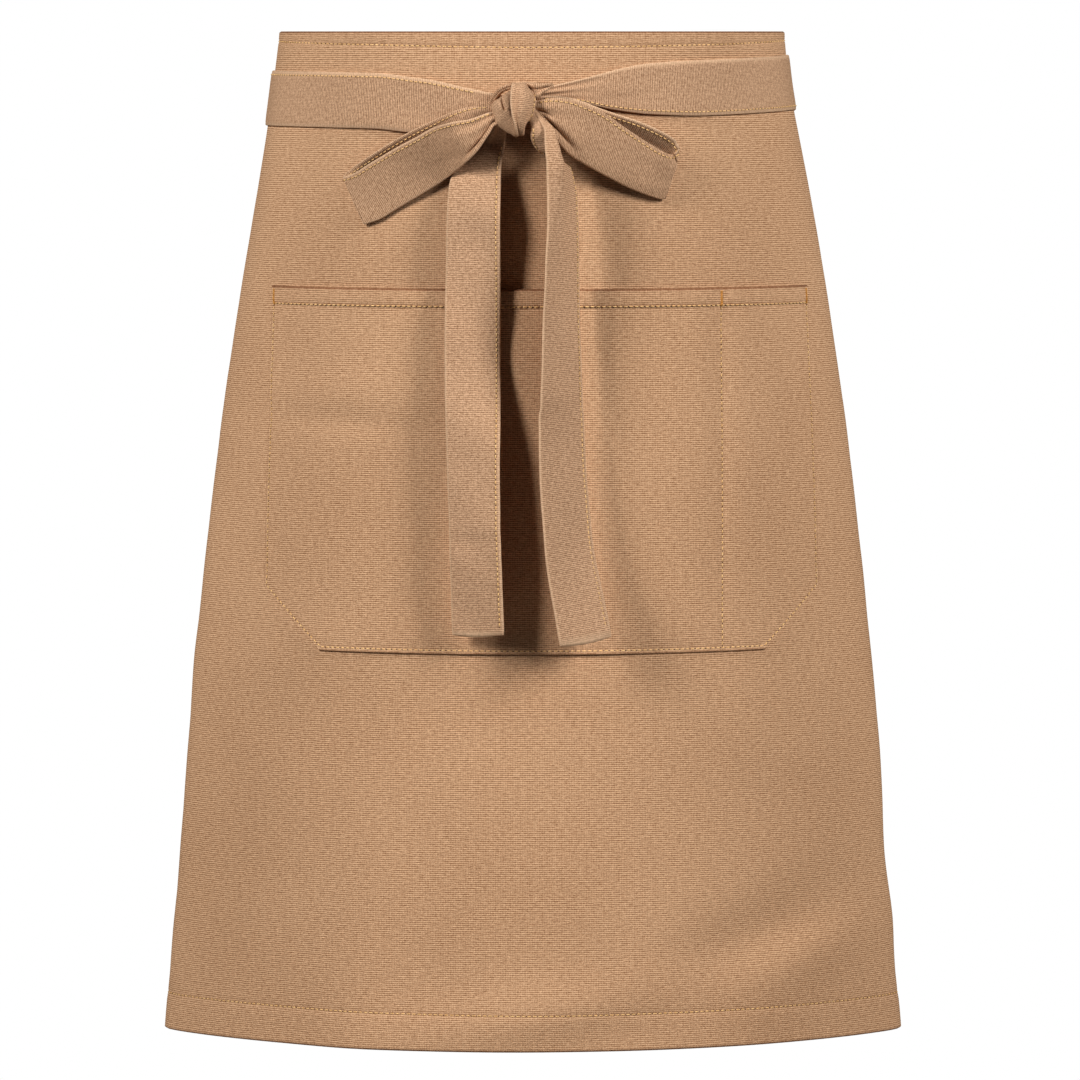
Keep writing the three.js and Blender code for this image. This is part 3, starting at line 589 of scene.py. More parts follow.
drops = stops_with([0, 5, 7, 8.7, APRON_LENGTH - BOTTOM_HEM, APRON_LENGTH], 0, APRON_LENGTH, 4.2, (-1.6, -0.8, 0, 0.8, 1.6))
drops = drops[np.concatenate([[True], np.diff(drops) > 0.3])]
acrosses = stops_with([-HALF_WIDTH, SIDE_HEM - HALF_WIDTH, HALF_WIDTH - SIDE_HEM, HALF_WIDTH], -HALF_WIDTH, HALF_WIDTH, 4.0)
across, drop = np.meshgrid(acrosses, drops)
relief = panel_relief(across, drop)
hem = step_up(drop, APRON_LENGTH - BOTTOM_HEM + 1) + 1 - step_up(drop, TOP_HEM + 1)
hem = np.clip(hem + step_up(np.abs(across), HALF_WIDTH - SIDE_HEM), 0, 1)
wall = CLOTH_THICKNESS + (HEM_THICKNESS - CLOTH_THICKNESS) * hem
flat = np.stack([across, drop], axis=-1)
panel = cloth_piece("apron_panel", place(across, drop, relief), place(across, drop, relief - wall), flat)
hand_over(panel, body_canvas, "panel")


# %% The panel's stitches
def panel_line(across, drop, relief, lift=0.0):
    """A line on the panel's outer face and its normals, for stitches."""
    across, drop = np.broadcast_arrays(np.asarray(across, float), np.asarray(drop, float))
    out = relief(across, drop) + lift
    base = place(across, drop, out)
    return base, place(across, drop, out + 1) - base


long_way = np.linspace(4 - HALF_WIDTH, HALF_WIDTH - 4, 240)
side_way = np.linspace(4, APRON_LENGTH - 4, 200)
panel_seams = [
    *stitch_row("stitches_top_hem", [panel_line(long_way, top_line(long_way), panel_relief)], thread),
    *stitch_row("stitches_bottom_hem", [panel_line(long_way, APRON_LENGTH - BOTTOM_HEM, panel_relief)], thread),
    *stitch_row(
        "stitches_side_hems",
        [panel_line(side * (HALF_WIDTH - SIDE_HEM), side_way, panel_relief) for side in (-1, 1)], thread,
    ),
]

# %% [markdown]
# ## The pocket
# A patch of the same canvas, with a folded mouth and cut-off lower corners, edge-stitched down both sides
# and along the bottom. One stitched line divides off a narrow compartment on the right. It lies on the panel
# and its mouth stands a few millimetres off; the thin dark line along its top is painted shade, the body
# canvas's dark edge tone on the mouth's folded edge.

# %% Sizes and outline of the pocket
POCKET_WIDTH = 354
POCKET_HEIGHT = 214
POCKET_DROP = 151
POCKET_SHIFT = 7
POCKET_CORNER = 41
POCKET_CORNER_RISE = 36
POCKET_HEM = 10
POCKET_SLACK = 2.4
DIVISION = 114
EDGE_STITCH = 1.8
LAYER_GAP = 0.5
POCKET_HALF = POCKET_WIDTH / 2


def pocket_height(across):
    """The pocket's height at a distance across from its own middle, in mm."""
    into = np.maximum(0, np.abs(across) - (POCKET_HALF - POCKET_CORNER)) / POCKET_CORNER
    return POCKET_HEIGHT - into * POCKET_CORNER_RISE


def edge_distance(across, down):
    """How far a place lies inside the pocket's sewn sides, corners and bottom, in mm."""
    to_side = POCKET_HALF - np.abs(across)
    slope = POCKET_CORNER_RISE / POCKET_CORNER
    to_corner = (pocket_height(across) - down) / math.hypot(1, slope)
    corner_line = (POCKET_HEIGHT - slope * (np.abs(across) - POCKET_HALF + POCKET_CORNER) - down) / math.hypot(1, slope)
    to_bottom = POCKET_HEIGHT - down
    return np.minimum(np.minimum(to_side, to_bottom), np.where(np.abs(across) > POCKET_HALF - 2 * POCKET_CORNER, corner_line, to_corner))


def pocket_off(across, down):
    """How far the pocket's inner face stands off the panel, in mm."""
    to_side = 1 - np.minimum(1, np.abs(across / POCKET_HALF)) ** 4
    to_bottom = 1 - np.minimum(1, down / POCKET_HEIGHT) ** 3
    division = 1 - 0.55 * bump(across + POCKET_SHIFT - DIVISION, 9)
    return LAYER_GAP + POCKET_SLACK * to_side * to_bottom * division


def pocket_relief(across, down):
    """Seams and puckers on the pocket's outer face, in mm."""
    inside = edge_distance(across, down)
    relief = seam_press(inside - EDGE_STITCH, across + down, 0.9) * 0.8
    relief = relief + seam_press(down - POCKET_HEM, across, 2.2)
    relief = relief + seam_press(across + POCKET_SHIFT - DIVISION, down, 3.7)
    relief = relief + 0.2 * (1 - step_up(down, POCKET_HEM - 1.5, 1.0))
    return relief + 0.5 * hand_waves(across * 1.3 + 40, down * 1.3 + 90)


# %% The pocket's grid
lanes = stops_with(
    [DIVISION - POCKET_SHIFT, EDGE_STITCH - POCKET_HALF, POCKET_HALF - EDGE_STITCH],
    -POCKET_HALF, POCKET_HALF, 3.4, (-1.6, -0.8, 0, 0.8, 1.6),
)
steps = stops_with([0, POCKET_HEM, POCKET_HEIGHT - EDGE_STITCH], 0, POCKET_HEIGHT, 3.4, (-1.6, -0.8, 0, 0.8, 1.6))
across, level = np.meshgrid(lanes, steps)
body = POCKET_HEIGHT - POCKET_HEM
down = np.where(level <= POCKET_HEM, level, POCKET_HEM + (level - POCKET_HEM) * (pocket_height(across) - POCKET_HEM) / body)
off = pocket_off(across, down)
hem = 1 - step_up(down, POCKET_HEM - 0.5, 0.7)
wall = CLOTH_THICKNESS + (HEM_THICKNESS - CLOTH_THICKNESS) * hem + pocket_relief(across, down)
pocket = cloth_piece(
    "patch_pocket",
    place(across + POCKET_SHIFT, POCKET_DROP + down, off + wall),
    place(across + POCKET_SHIFT, POCKET_DROP + down, off),
    np.stack([across, down], axis=-1),
)
hand_over(pocket, body_canvas, "pocket")


# %% The pocket's stitches and bartacks
def pocket_line(across, down):
    """A line on the pocket's outer face and its normals, for stitches."""
    across, down = np.broadcast_arrays(np.asarray(across, float), np.asarray(down, float))
    wall = np.where(down < POCKET_HEM, HEM_THICKNESS, CLOTH_THICKNESS)
    out = pocket_off(across, down) + wall + pocket_relief(across, down)
    base = place(across + POCKET_SHIFT, POCKET_DROP + down, out)
    return base, place(across + POCKET_SHIFT, POCKET_DROP + down, out + 1) - base


inset = POCKET_HALF - EDGE_STITCH
turn_in = POCKET_HALF - POCKET_CORNER - EDGE_STITCH * 0.4
turn_down = POCKET_HEIGHT - POCKET_CORNER_RISE - EDGE_STITCH * 0.4
floor_line = POCKET_HEIGHT - EDGE_STITCH
side_down = np.linspace(1, turn_down, 60)
slant = np.linspace(0, 1, 20)
pocket_edge = []
for side in (-1, 1):
    pocket_edge.append(pocket_line(side * inset, side_down))
    pocket_edge.append(pocket_line(side * (inset + (turn_in - inset) * slant), turn_down + (floor_line - turn_down) * slant))
pocket_edge.append(pocket_line(np.linspace(-turn_in, turn_in, 100), floor_line))
division = DIVISION - POCKET_SHIFT
pocket_seams = [
    *stitch_row("stitches_pocket_edge", pocket_edge, thread),
    *stitch_row("stitches_pocket_mouth", [pocket_line(np.linspace(-inset + 1, inset - 1, 120), POCKET_HEM - 0.5)], thread),
    *stitch_row("stitches_pocket_division", [pocket_line(division, np.linspace(3, floor_line - 1, 70))], thread),
]
tack_down = np.linspace(0.8, POCKET_HEM, 12)
tacks = [pocket_line(across, tack_down) for across in (-inset + 0.6, division, inset - 0.6)]
pocket_seams += stitch_row("bartacks_pocket", tacks, bartack_thread, pitch=0.7, scale=(0.85, 0.9, 1), turn=86, rise=0.25, holes=False)

# %% [markdown]
# ## The ties
# Each tie is a 32 mm strap: canvas folded in on itself and stitched along one edge. It is sewn to the far
# back corner of the panel, crosses the other tie behind, comes round the near side and runs to the knot,
# where it narrows into lengthwise pleats. Modelled as sheets that lie on the panel's outline, they stay flat
# and touch the cloth as real straps do.

# %% Sizes and routes of the ties
TIE_WIDTH = 32
TIE_THICKNESS = 1.6
TIE_OVERLAP = 34
KNOT_BREADTH = 27
KNOT_HEIGHT = 31
KNOT_DEPTH = 25
KNOT_SHIFT = -10
KNOT_DROP = 47
SEAT_GAP = 0.3
LEFT_TIE = [
    dict(at=0.03, drop=0.96, lift=1, layer=0, gather=0.4),
    dict(at=0.1, drop=0.95, lift=0.75, layer=0, gather=0.72),
    dict(at=0.19, drop=0.91, lift=0.2, layer=0, gather=0.98),
    dict(at=0.28, drop=0.85, lift=0, layer=0, gather=1),
    dict(at=0.59, drop=0.83, lift=0, layer=0, gather=1),
    dict(at=0.82, drop=0.84, lift=0, layer=0, gather=1),
    dict(at=0.88, drop=0.83, lift=0, layer=1, gather=1),
    dict(at=1, drop=0.81, lift=0, layer=1, gather=1),
    dict(at=1.5, drop=0.62, lift=0, layer=1, gather=1),
    dict(at=1.9, drop=0.36, lift=0, layer=1, gather=1),
    dict(at=2.2, drop=0.36, lift=0, layer=0, gather=1),
    dict(at=3, drop=0.36, lift=0, layer=0, gather=1),
]
RIGHT_TIE = [
    dict(at=0, drop=0.78, lift=1, layer=0, gather=0.2),
    dict(at=0.02, drop=0.75, lift=0.95, layer=0, gather=0.2),
    dict(at=0.05, drop=0.73, lift=0.72, layer=0, gather=0.28),
    dict(at=0.085, drop=0.72, lift=0.48, layer=0, gather=0.43),
    dict(at=0.11, drop=0.72, lift=0.33, layer=0, gather=0.57),
    dict(at=0.15, drop=0.71, lift=0.17, layer=0, gather=0.76),
    dict(at=0.2, drop=0.7, lift=0.06, layer=0, gather=0.91),
    dict(at=0.3, drop=0.69, lift=0, layer=0, gather=1),
    dict(at=0.43, drop=0.66, lift=0, layer=0, gather=1),
    dict(at=0.59, drop=0.63, lift=0, layer=0, gather=1),
    dict(at=0.75, drop=0.84, lift=0, layer=0, gather=1),
    dict(at=0.9, drop=1.13, lift=0, layer=0, gather=1),
    dict(at=1, drop=1.15, lift=0, layer=0, gather=1),
    dict(at=1.15, drop=1.12, lift=0, layer=0, gather=1),
    dict(at=1.5, drop=0.7, lift=0, layer=0, gather=1),
    dict(at=1.85, drop=0.39, lift=0, layer=0, gather=1),
    dict(at=2, drop=0.36, lift=0, layer=0, gather=1),
    dict(at=3, drop=0.36, lift=0, layer=0, gather=1),
]
knot_centre = place(KNOT_SHIFT, KNOT_DROP, 2 * LAYER_GAP + TIE_THICKNESS + KNOT_DEPTH / 2)
STRAP_EDGE = 2


# %% A tie as a sheet on the panel
def strap_relief(share, along, gather):
    """Pleats where a strap is gathered, and the groove of its stitched edge, in mm. Share runs over its width."""
    pleats = (1 - gather) * (0.9 * np.cos(share * 11 + 0.4) + 0.4 * np.sin(share * 19 + along / 9 + 1.3))
    cupped = 0.3 * np.sin(along / 17 + 3 * share) + 0.2 * np.sin(along / 7.3 - 5 * share + 1)
    return pleats + cupped * np.minimum(1, gather)


def tie_sheet(table, side, stitched):
    """Grids of a tie: (outer, inner, flat, line of its stitches with normals). Stitched is -1 for its top edge."""
    half_turn = contour(KNOT_DROP)[0]
    corner = HALF_WIDTH
    far_corner = 2 * half_turn - corner
    start = side * KNOT_SHIFT + KNOT_BREADTH / 5
    end = far_corner + TIE_OVERLAP
    arcs = np.linspace(start, end, int((end - start) / 2.2))

    def at_arc(arc):
        past = np.where(arc <= far_corner, 1 + (arc - corner) / (far_corner - corner), 2 + (arc - far_corner) / TIE_OVERLAP)
        return np.where(arc <= corner, arc / corner, past)

    clear = np.linalg.norm(knot_centre - place(KNOT_SHIFT, KNOT_DROP, 0)) - KNOT_DEPTH / 4
    column = {c: read_table(table, "at", c, at_arc(arcs))[:, None] for c in ("drop", "lift", "layer", "gather")}
    slope = (read_table(table, "at", "drop", at_arc(arcs + 1)) - read_table(table, "at", "drop", at_arc(arcs - 1))) / 2
    height = TIE_WIDTH * column["gather"] / np.cos(np.arctan(slope * KNOT_DROP))[:, None]
    off = LAYER_GAP + column["layer"] * (TIE_THICKNESS + LAYER_GAP) + np.maximum(0, column["lift"]) * (clear - LAYER_GAP)
    shares = np.linspace(-0.5, 0.5, 15)[None]
    arcs = arcs[:, None]

    def spots(share, out):
        down = column["drop"] * KNOT_DROP + share * height
        return place(side * arcs * half_round(down) / half_turn, down, out)

    ridge = 1.1 * bump(shares - 0.26, 0.12) * bump(arcs - 30, 17) * (side > 0)
    lift = strap_relief(shares, arcs, column["gather"]) * np.clip(off - LAYER_GAP + 0.12, 0, 1) + ridge
    crown = TIE_THICKNESS * (1 - 0.25 * (2 * shares) ** 6)
    flat = np.stack(np.broadcast_arrays(shares * TIE_WIDTH, arcs), axis=-1)
    line = stitched * (0.5 - STRAP_EDGE / TIE_WIDTH)
    seam = np.array([[np.interp(line, shares[0], row)] for row in off + lift + crown])
    path = spots(np.array([[line]]), seam)[:, 0]
    proud = spots(np.array([[line]]), seam + 1)[:, 0]
    return spots(shares, off + lift + crown), spots(shares, off + lift), flat, (path, proud - path)


# %% Both ties
straps = {}
strap_lines = {}
for name, table, side, stitched in (("left_tie", LEFT_TIE, -1, -1), ("right_tie", RIGHT_TIE, 1, 1)):
    outer, inner, flat, line = tie_sheet(table, side, stitched)
    straps[name] = cloth_piece("strap_" + name, outer, inner, flat)
    hand_over(straps[name], tie_canvas, name)
    strap_lines[name] = (line[0][8:], line[1][8:])

# %% [markdown]
# ## The bow
# Two loops and two hanging ends leave the knot. A loop is one strap that goes out, turns at the tip and
# comes back behind, so it shows two edges with a dark slit between them. Each route is a short table of
# where the strap's middle runs and which way its width lies, and the sheet is swept along it.

# %% Routes of the loops and tails
LOOP_REACH = 100
LOOP_OPENING = 15
TAIL_LENGTH = 308
LEFT_LOOP = [
    dict(reach=0.06, fall=0.02, out=0.3, lean=10, tilt=0, gather=0.2),
    dict(reach=0.127, fall=0.033, out=0.33, lean=14, tilt=0, gather=0.24),
    dict(reach=0.17, fall=0.071, out=0.37, lean=14, tilt=0, gather=0.38),
    dict(reach=0.228, fall=0.117, out=0.32, lean=20, tilt=1, gather=0.53),
    dict(reach=0.313, fall=0.16, out=0.16, lean=26, tilt=1, gather=0.73),
    dict(reach=0.399, fall=0.206, out=-0.5, lean=27, tilt=1, gather=0.86),
    dict(reach=0.498, fall=0.27, out=-0.92, lean=29.5, tilt=5, gather=0.92),
    dict(reach=0.622, fall=0.342, out=-1.31, lean=29.5, tilt=4, gather=0.95),
    dict(reach=0.772, fall=0.432, out=-1.81, lean=29.5, tilt=0, gather=0.95),
    dict(reach=0.877, fall=0.495, out=-2.2, lean=28, tilt=-5, gather=0.95),
    dict(reach=0.944, fall=0.517, out=-2.49, lean=26, tilt=-9, gather=0.95),
    dict(reach=0.939, fall=0.506, out=-2.55, lean=26, tilt=-12, gather=0.95),
    dict(reach=0.888, fall=0.469, out=-2.44, lean=27, tilt=-12, gather=0.95),
    dict(reach=0.776, fall=0.395, out=-2.08, lean=28, tilt=-9, gather=0.95),
    dict(reach=0.627, fall=0.3, out=-1.66, lean=28, tilt=-7, gather=0.95),
    dict(reach=0.499, fall=0.228, out=-1.28, lean=28, tilt=-5, gather=0.95),
    dict(reach=0.391, fall=0.173, out=-0.9, lean=27, tilt=-4, gather=0.93),
    dict(reach=0.308, fall=0.12, out=-0.51, lean=24, tilt=-3, gather=0.84),
    dict(reach=0.232, fall=0.064, out=-0.29, lean=14, tilt=-1, gather=0.62),
    dict(reach=0.134, fall=0.017, out=-0.11, lean=5, tilt=0, gather=0.36),
    dict(reach=0.06, fall=-0.01, out=-0.04, lean=0, tilt=0, gather=0.24),
]
RIGHT_LOOP = [
    dict(reach=0.06, fall=-0.01, out=0.07, lean=-5, tilt=0, gather=0.3),
    dict(reach=0.138, fall=-0.008, out=0.21, lean=-5, tilt=0, gather=0.38),
    dict(reach=0.249, fall=0.03, out=0.32, lean=6, tilt=3, gather=0.72),
    dict(reach=0.364, fall=0.094, out=0.15, lean=12, tilt=3, gather=0.96),
    dict(reach=0.48, fall=0.154, out=-0.17, lean=15.5, tilt=4, gather=1),
    dict(reach=0.58, fall=0.217, out=-0.47, lean=16.5, tilt=6, gather=0.96),
    dict(reach=0.727, fall=0.305, out=-0.93, lean=18.5, tilt=8, gather=0.89),
    dict(reach=0.829, fall=0.356, out=-1.24, lean=18, tilt=8, gather=0.83),
    dict(reach=0.894, fall=0.377, out=-1.5, lean=17, tilt=6, gather=0.82),
    dict(reach=0.929, fall=0.374, out=-1.68, lean=17.5, tilt=4, gather=0.86),
    dict(reach=0.922, fall=0.349, out=-1.72, lean=18.5, tilt=2, gather=0.9),
    dict(reach=0.888, fall=0.312, out=-1.68, lean=20, tilt=-2, gather=0.93),
    dict(reach=0.815, fall=0.263, out=-1.46, lean=20, tilt=-4, gather=0.95),
    dict(reach=0.667, fall=0.193, out=-1.17, lean=20, tilt=-3, gather=0.95),
    dict(reach=0.521, fall=0.144, out=-0.91, lean=20, tilt=-3, gather=0.95),
    dict(reach=0.432, fall=0.11, out=-0.74, lean=19, tilt=-2, gather=0.94),
    dict(reach=0.331, fall=0.057, out=-0.53, lean=16, tilt=-1, gather=0.86),
    dict(reach=0.257, fall=0.016, out=-0.36, lean=12, tilt=-1, gather=0.7),
    dict(reach=0.163, fall=-0.033, out=-0.2, lean=2, tilt=0, gather=0.4),
    dict(reach=0.08, fall=-0.05, out=-0.13, lean=0, tilt=0, gather=0.28),
]
LEFT_TAIL = [
    dict(fall=0.02, reach=-0.3, out=-0.14, turn=0, gather=0.34),
    dict(fall=0.06, reach=-0.48, out=-0.42, turn=-10, gather=0.62),
    dict(fall=0.1, reach=-0.64, out=-0.37, turn=-22, gather=0.86),
    dict(fall=0.14, reach=-0.72, out=-0.24, turn=-20, gather=0.98),
    dict(fall=0.2, reach=-0.745, out=-0.12, turn=-18, gather=1),
    dict(fall=0.28, reach=-0.75, out=-0.15, turn=-14, gather=1),
    dict(fall=0.45, reach=-0.76, out=-0.15, turn=0, gather=1),
    dict(fall=0.64, reach=-0.75, out=0.06, turn=-16, gather=1),
    dict(fall=0.83, reach=-0.71, out=0.1, turn=-24, gather=1),
    dict(fall=0.99, reach=-0.66, out=-0.02, turn=-20, gather=1),
]
RIGHT_TAIL = [
    dict(fall=-0.02, reach=0.36, out=0.1, turn=0, gather=0.3, fold=180),
    dict(fall=0.012, reach=0.67, out=0.26, turn=0, gather=0.42, fold=180),
    dict(fall=0.034, reach=0.88, out=0.36, turn=0, gather=0.63, fold=174),
    dict(fall=0.055, reach=0.94, out=0.4, turn=2, gather=0.74, fold=146),
    dict(fall=0.075, reach=1, out=0.42, turn=7, gather=0.84, fold=104),
    dict(fall=0.1, reach=1.053, out=0.42, turn=12, gather=0.92, fold=68),
    dict(fall=0.14, reach=1.073, out=0.38, turn=20, gather=0.98, fold=52),
    dict(fall=0.19, reach=1.037, out=0.33, turn=32, gather=1, fold=34),
    dict(fall=0.25, reach=0.963, out=0.3, turn=44, gather=1, fold=16),
    dict(fall=0.32, reach=0.896, out=0.28, turn=50, gather=1, fold=5),
    dict(fall=0.4, reach=0.866, out=0.25, turn=48, gather=1, fold=0),
    dict(fall=0.6, reach=0.87, out=0.26, turn=37, gather=1, fold=0),
    dict(fall=0.8, reach=0.98, out=0.28, turn=30, gather=1, fold=0),
    dict(fall=1, reach=1.31, out=0.3, turn=22, gather=1, fold=0),
]


# %% Sweeping a strap along its route
def walk(table, stations):
    """Every column of a table at even steps of its row number."""
    rows = [dict(row, number=i) for i, row in enumerate(table)]
    number = np.linspace(0, len(rows) - 1, stations)
    return {c: read_table(rows, "number", c, number) for c in rows[0] if c != "number"}


def unit(vectors):
    """Vectors at length 1."""
    return vectors / np.maximum(np.linalg.norm(vectors, axis=-1, keepdims=True), 1e-9)


FOLD_SHARE = -0.2


def strap_sheet(middle, wide, gather, stitched, dents=None, fold=0):
    """Grids of a free strap from its middle line in mm and the way that its width runs. Fold turns the part past
    a lengthwise line back behind the rest, in degrees."""
    along = unit(np.gradient(middle, axis=0))
    facing = unit(np.cross(along, wide))
    travelled = np.concatenate([[0], np.cumsum(np.linalg.norm(np.diff(middle, axis=0), axis=1))])
    shares = np.linspace(-0.5, 0.5, 33)
    relief = strap_relief(shares[None], travelled[:, None], gather[:, None])
    if dents is not None:
        relief = relief + dents(travelled[:, None], shares[None])
    bent = np.radians(np.asarray(fold))[..., None] * step_up(shares, FOLD_SHARE, 0.018)
    bent = np.broadcast_to(bent, (len(middle), len(shares)))
    strides = np.stack([np.cos(bent), -np.sin(bent)], axis=-1) * (gather * TIE_WIDTH / (len(shares) - 1))[:, None, None]
    walked = np.cumsum(np.concatenate([np.zeros_like(strides[:, :1]), (strides[:, 1:] + strides[:, :-1]) / 2], axis=1), axis=1)
    walked[..., 0] -= gather[:, None] * TIE_WIDTH / 2
    centre = middle[:, None] + wide[:, None] * walked[..., :1] + facing[:, None] * walked[..., 1:]
    proud = wide[:, None] * np.sin(bent)[..., None] + facing[:, None] * np.cos(bent)[..., None]
    centre = centre + proud * relief[..., None]
    normal = grid_normals(centre)
    normal *= np.sign(np.sum(normal * proud, axis=-1, keepdims=True))
    half = TIE_THICKNESS / 2 * (1 - 0.25 * (2 * shares) ** 6)[None, :, None]
    outer, inner = centre + normal * half, centre - normal * half
    flat = np.stack(np.broadcast_arrays(shares[None] * TIE_WIDTH, travelled[:, None]), axis=-1)
    line = stitched * (0.5 - STRAP_EDGE / TIE_WIDTH)
    at = lambda grid: np.stack([[np.interp(line, shares, row[:, k]) for k in range(3)] for row in grid])
    return outer, inner, flat, at(outer), at(inner), at(normal)


def loop_sheet(table, side, stitched, dents=None):
    """A loop's grids."""
    row = walk(table, 240)
    lean, tilt = np.radians(row["lean"]), np.radians(row["tilt"])
    offset = np.stack([side * row["reach"] * LOOP_REACH, -row["out"] * LOOP_OPENING, -row["fall"] * LOOP_REACH], axis=1)
    wide = np.stack([-side * np.sin(lean) * np.cos(tilt), np.sin(tilt), -np.cos(lean) * np.cos(tilt)], axis=1)
    return strap_sheet(knot_centre + offset, wide, row["gather"], stitched, dents)


def tail_sheet(table, stitched, dents=None):
    """A tail's grids."""
    row = walk(table, 200)
    turn = np.radians(row["turn"])
    offset = np.stack([row["reach"] * TIE_WIDTH, -row["out"] * TIE_WIDTH, -row["fall"] * TAIL_LENGTH], axis=1)
    wide = np.stack([np.cos(turn), np.sin(turn), np.zeros_like(turn)], axis=1)
    return strap_sheet(knot_centre + offset, wide, row["gather"], stitched, dents, row.get("fold", 0))


# %% Dents where the straps are pulled into the knot
def fading(travelled, start, end):
    """1 before the start and 0 after the end, with a soft slope between."""
    t = np.clip((travelled - start) / (end - start), 0, 1)
    return 1 - t * t * (3 - 2 * t)


def lip(travelled, share, depth, height, start, end):
    """The rear ply's top edge, which leans over towards the front ply and so keeps the light out of the loop."""
    leaning = np.clip((height - 0.5 - share) / height, 0, 1) ** 1.15
    return -depth * leaning * step_up(travelled, start, 5) * (1 - step_up(travelled, end, 8))


def left_loop_dents(travelled, share):
    """One deep groove that runs out along the lower edge, and the roll below it."""
    fade = fading(travelled, 12, 42)
    groove = -3.6 * bump(share - 0.2 - 0.006 * travelled, 0.065)
    roll = 1.3 * bump(share - 0.44, 0.09)
    waves = 0.8 * np.sin(travelled / 15 + 3 * share) * bump(travelled - 50, 30)
    return fade * (groove + roll) + waves + lip(travelled, share, 4.6, 0.17, 126, 182)


def right_loop_dents(travelled, share):
    """Short gathers above, and a slanting valley that ends in a soft shadow. This loop's grid faces the other way."""
    short = -1.5 * bump(share + 0.2 - 0.012 * travelled, 0.06) * fading(travelled, 8, 22)
    valley = -3.0 * bump(share - 0.1 - 0.007 * travelled, 0.09) * fading(travelled, 22, 44) * (1 - fading(travelled, 6, 14))
    middle = 0.5 * bump(share - 0.05, 0.2) * bump(travelled - 40, 16)
    return -(short + valley + middle + lip(travelled, share, 7.5, 0.29, 104, 158))


def left_tail_dents(travelled, share):
    """Two faint creases across, left from folding."""
    return 0.35 * bump(travelled - 244, 5) - 0.3 * bump(travelled - 252, 5) + 0.3 * bump(travelled - 268 - 20 * share, 6)


def right_tail_dents(travelled, share):
    """The crease across the middle, deeper at its left."""
    return (0.5 - 0.6 * share) * (bump(travelled - 181 + 8 * share, 3) - 0.9 * bump(travelled - 189 + 8 * share, 3.4))


# %% Loops and tails
bow = {
    "left_loop": loop_sheet(LEFT_LOOP, -1, -1, left_loop_dents),
    "right_loop": loop_sheet(RIGHT_LOOP, 1, -1, right_loop_dents),
    "left_tail": tail_sheet(LEFT_TAIL, 1, left_tail_dents),
    "right_tail": tail_sheet(RIGHT_TAIL, 1, right_tail_dents),
}
END_LIP = 2.2
END_SLANT = {"left_tail": 0.8, "right_tail": 5.8}
for name, (outer, inner, flat, line_out, line_in, normal) in bow.items():
    if "tail" in name:
        wave = np.sin(np.linspace(0.3, 3.0, outer.shape[1]))
        inner[-1, :, 2] -= END_LIP * wave
        slant = END_SLANT[name] * np.linspace(-0.5, 0.5, outer.shape[1]) * step_up(np.arange(len(outer)), 180, 14)[:, None]
        outer[..., 2] += slant
        inner[..., 2] += slant
    straps[name] = cloth_piece("strap_" + name, outer, inner, flat)
    hand_over(straps[name], tie_canvas, name)

# %% [markdown]
# ## The knot
# A knot is the strap wound over itself: one broad wrap comes down over the front, another goes round to the
# left, and where one disappears under the other there is a step with a dark line. The inner turns are modelled
# as one soft core, a finely divided cube rounded to a ball, which has no pinched poles and whose outline follows
# a table of reaches. The wrap over the front and the strap behind are real bands with edges, laid round it.

# %% Outline and wraps of the knot
KNOT_OUTLINE = [
    dict(bearing=0, reach=0.33), dict(bearing=23, reach=0.38), dict(bearing=42, reach=0.45), dict(bearing=58, reach=0.5),
    dict(bearing=69, reach=0.49), dict(bearing=84, reach=0.43), dict(bearing=103, reach=0.38), dict(bearing=122, reach=0.36),
    dict(bearing=140, reach=0.365), dict(bearing=153, reach=0.415), dict(bearing=167, reach=0.435), dict(bearing=189, reach=0.405),
    dict(bearing=218, reach=0.43), dict(bearing=237, reach=0.415), dict(bearing=262, reach=0.45), dict(bearing=276, reach=0.5),
    dict(bearing=288, reach=0.42), dict(bearing=305, reach=0.38), dict(bearing=332, reach=0.31), dict(bearing=360, reach=0.33),
]
KNOT_LEDGES = [
    dict(x=-0.2, z=0.3, end_x=-0.15, end_z=0.03, bow=-0.02, ledge=1.0, groove=1.7),
    dict(x=-0.1, z=0.36, end_x=-0.03, end_z=-0.1, bow=0.02, ledge=-1.2, groove=0.6),
    dict(x=-0.34, z=0.16, end_x=0.0, end_z=-0.2, bow=-0.05, ledge=0.4, groove=0.0),
]
bpy.ops.object.select_all(action="DESELECT")
bpy.ops.mesh.primitive_cube_add(size=2)
knot = bpy.context.object
knot.name = "strap_knot"
bpy.ops.object.mode_set(mode="EDIT")
bpy.ops.mesh.select_all(action="SELECT")
bpy.ops.mesh.subdivide(number_cuts=55)
bpy.ops.object.mode_set(mode="OBJECT")
ball = np.array([v.co[:] for v in knot.data.vertices])
ball = unit(np.tan(ball * math.pi / 4))
bearing = np.degrees(np.arctan2(ball[:, 2], ball[:, 0])) % 360
from_middle = np.hypot(ball[:, 0], ball[:, 2])
reach = read_table(KNOT_OUTLINE, "bearing", "reach", bearing) * KNOT_HEIGHT
flat_x = np.cos(np.radians(bearing)) * reach * from_middle
flat_z = np.sin(np.radians(bearing)) * reach * from_middle
depth = -np.sign(ball[:, 1]) * np.abs(ball[:, 1]) ** 0.45 * (KNOT_DEPTH / 2 - 2.3)
facing_us = step_up(-ball[:, 1], 0.1, 0.12)
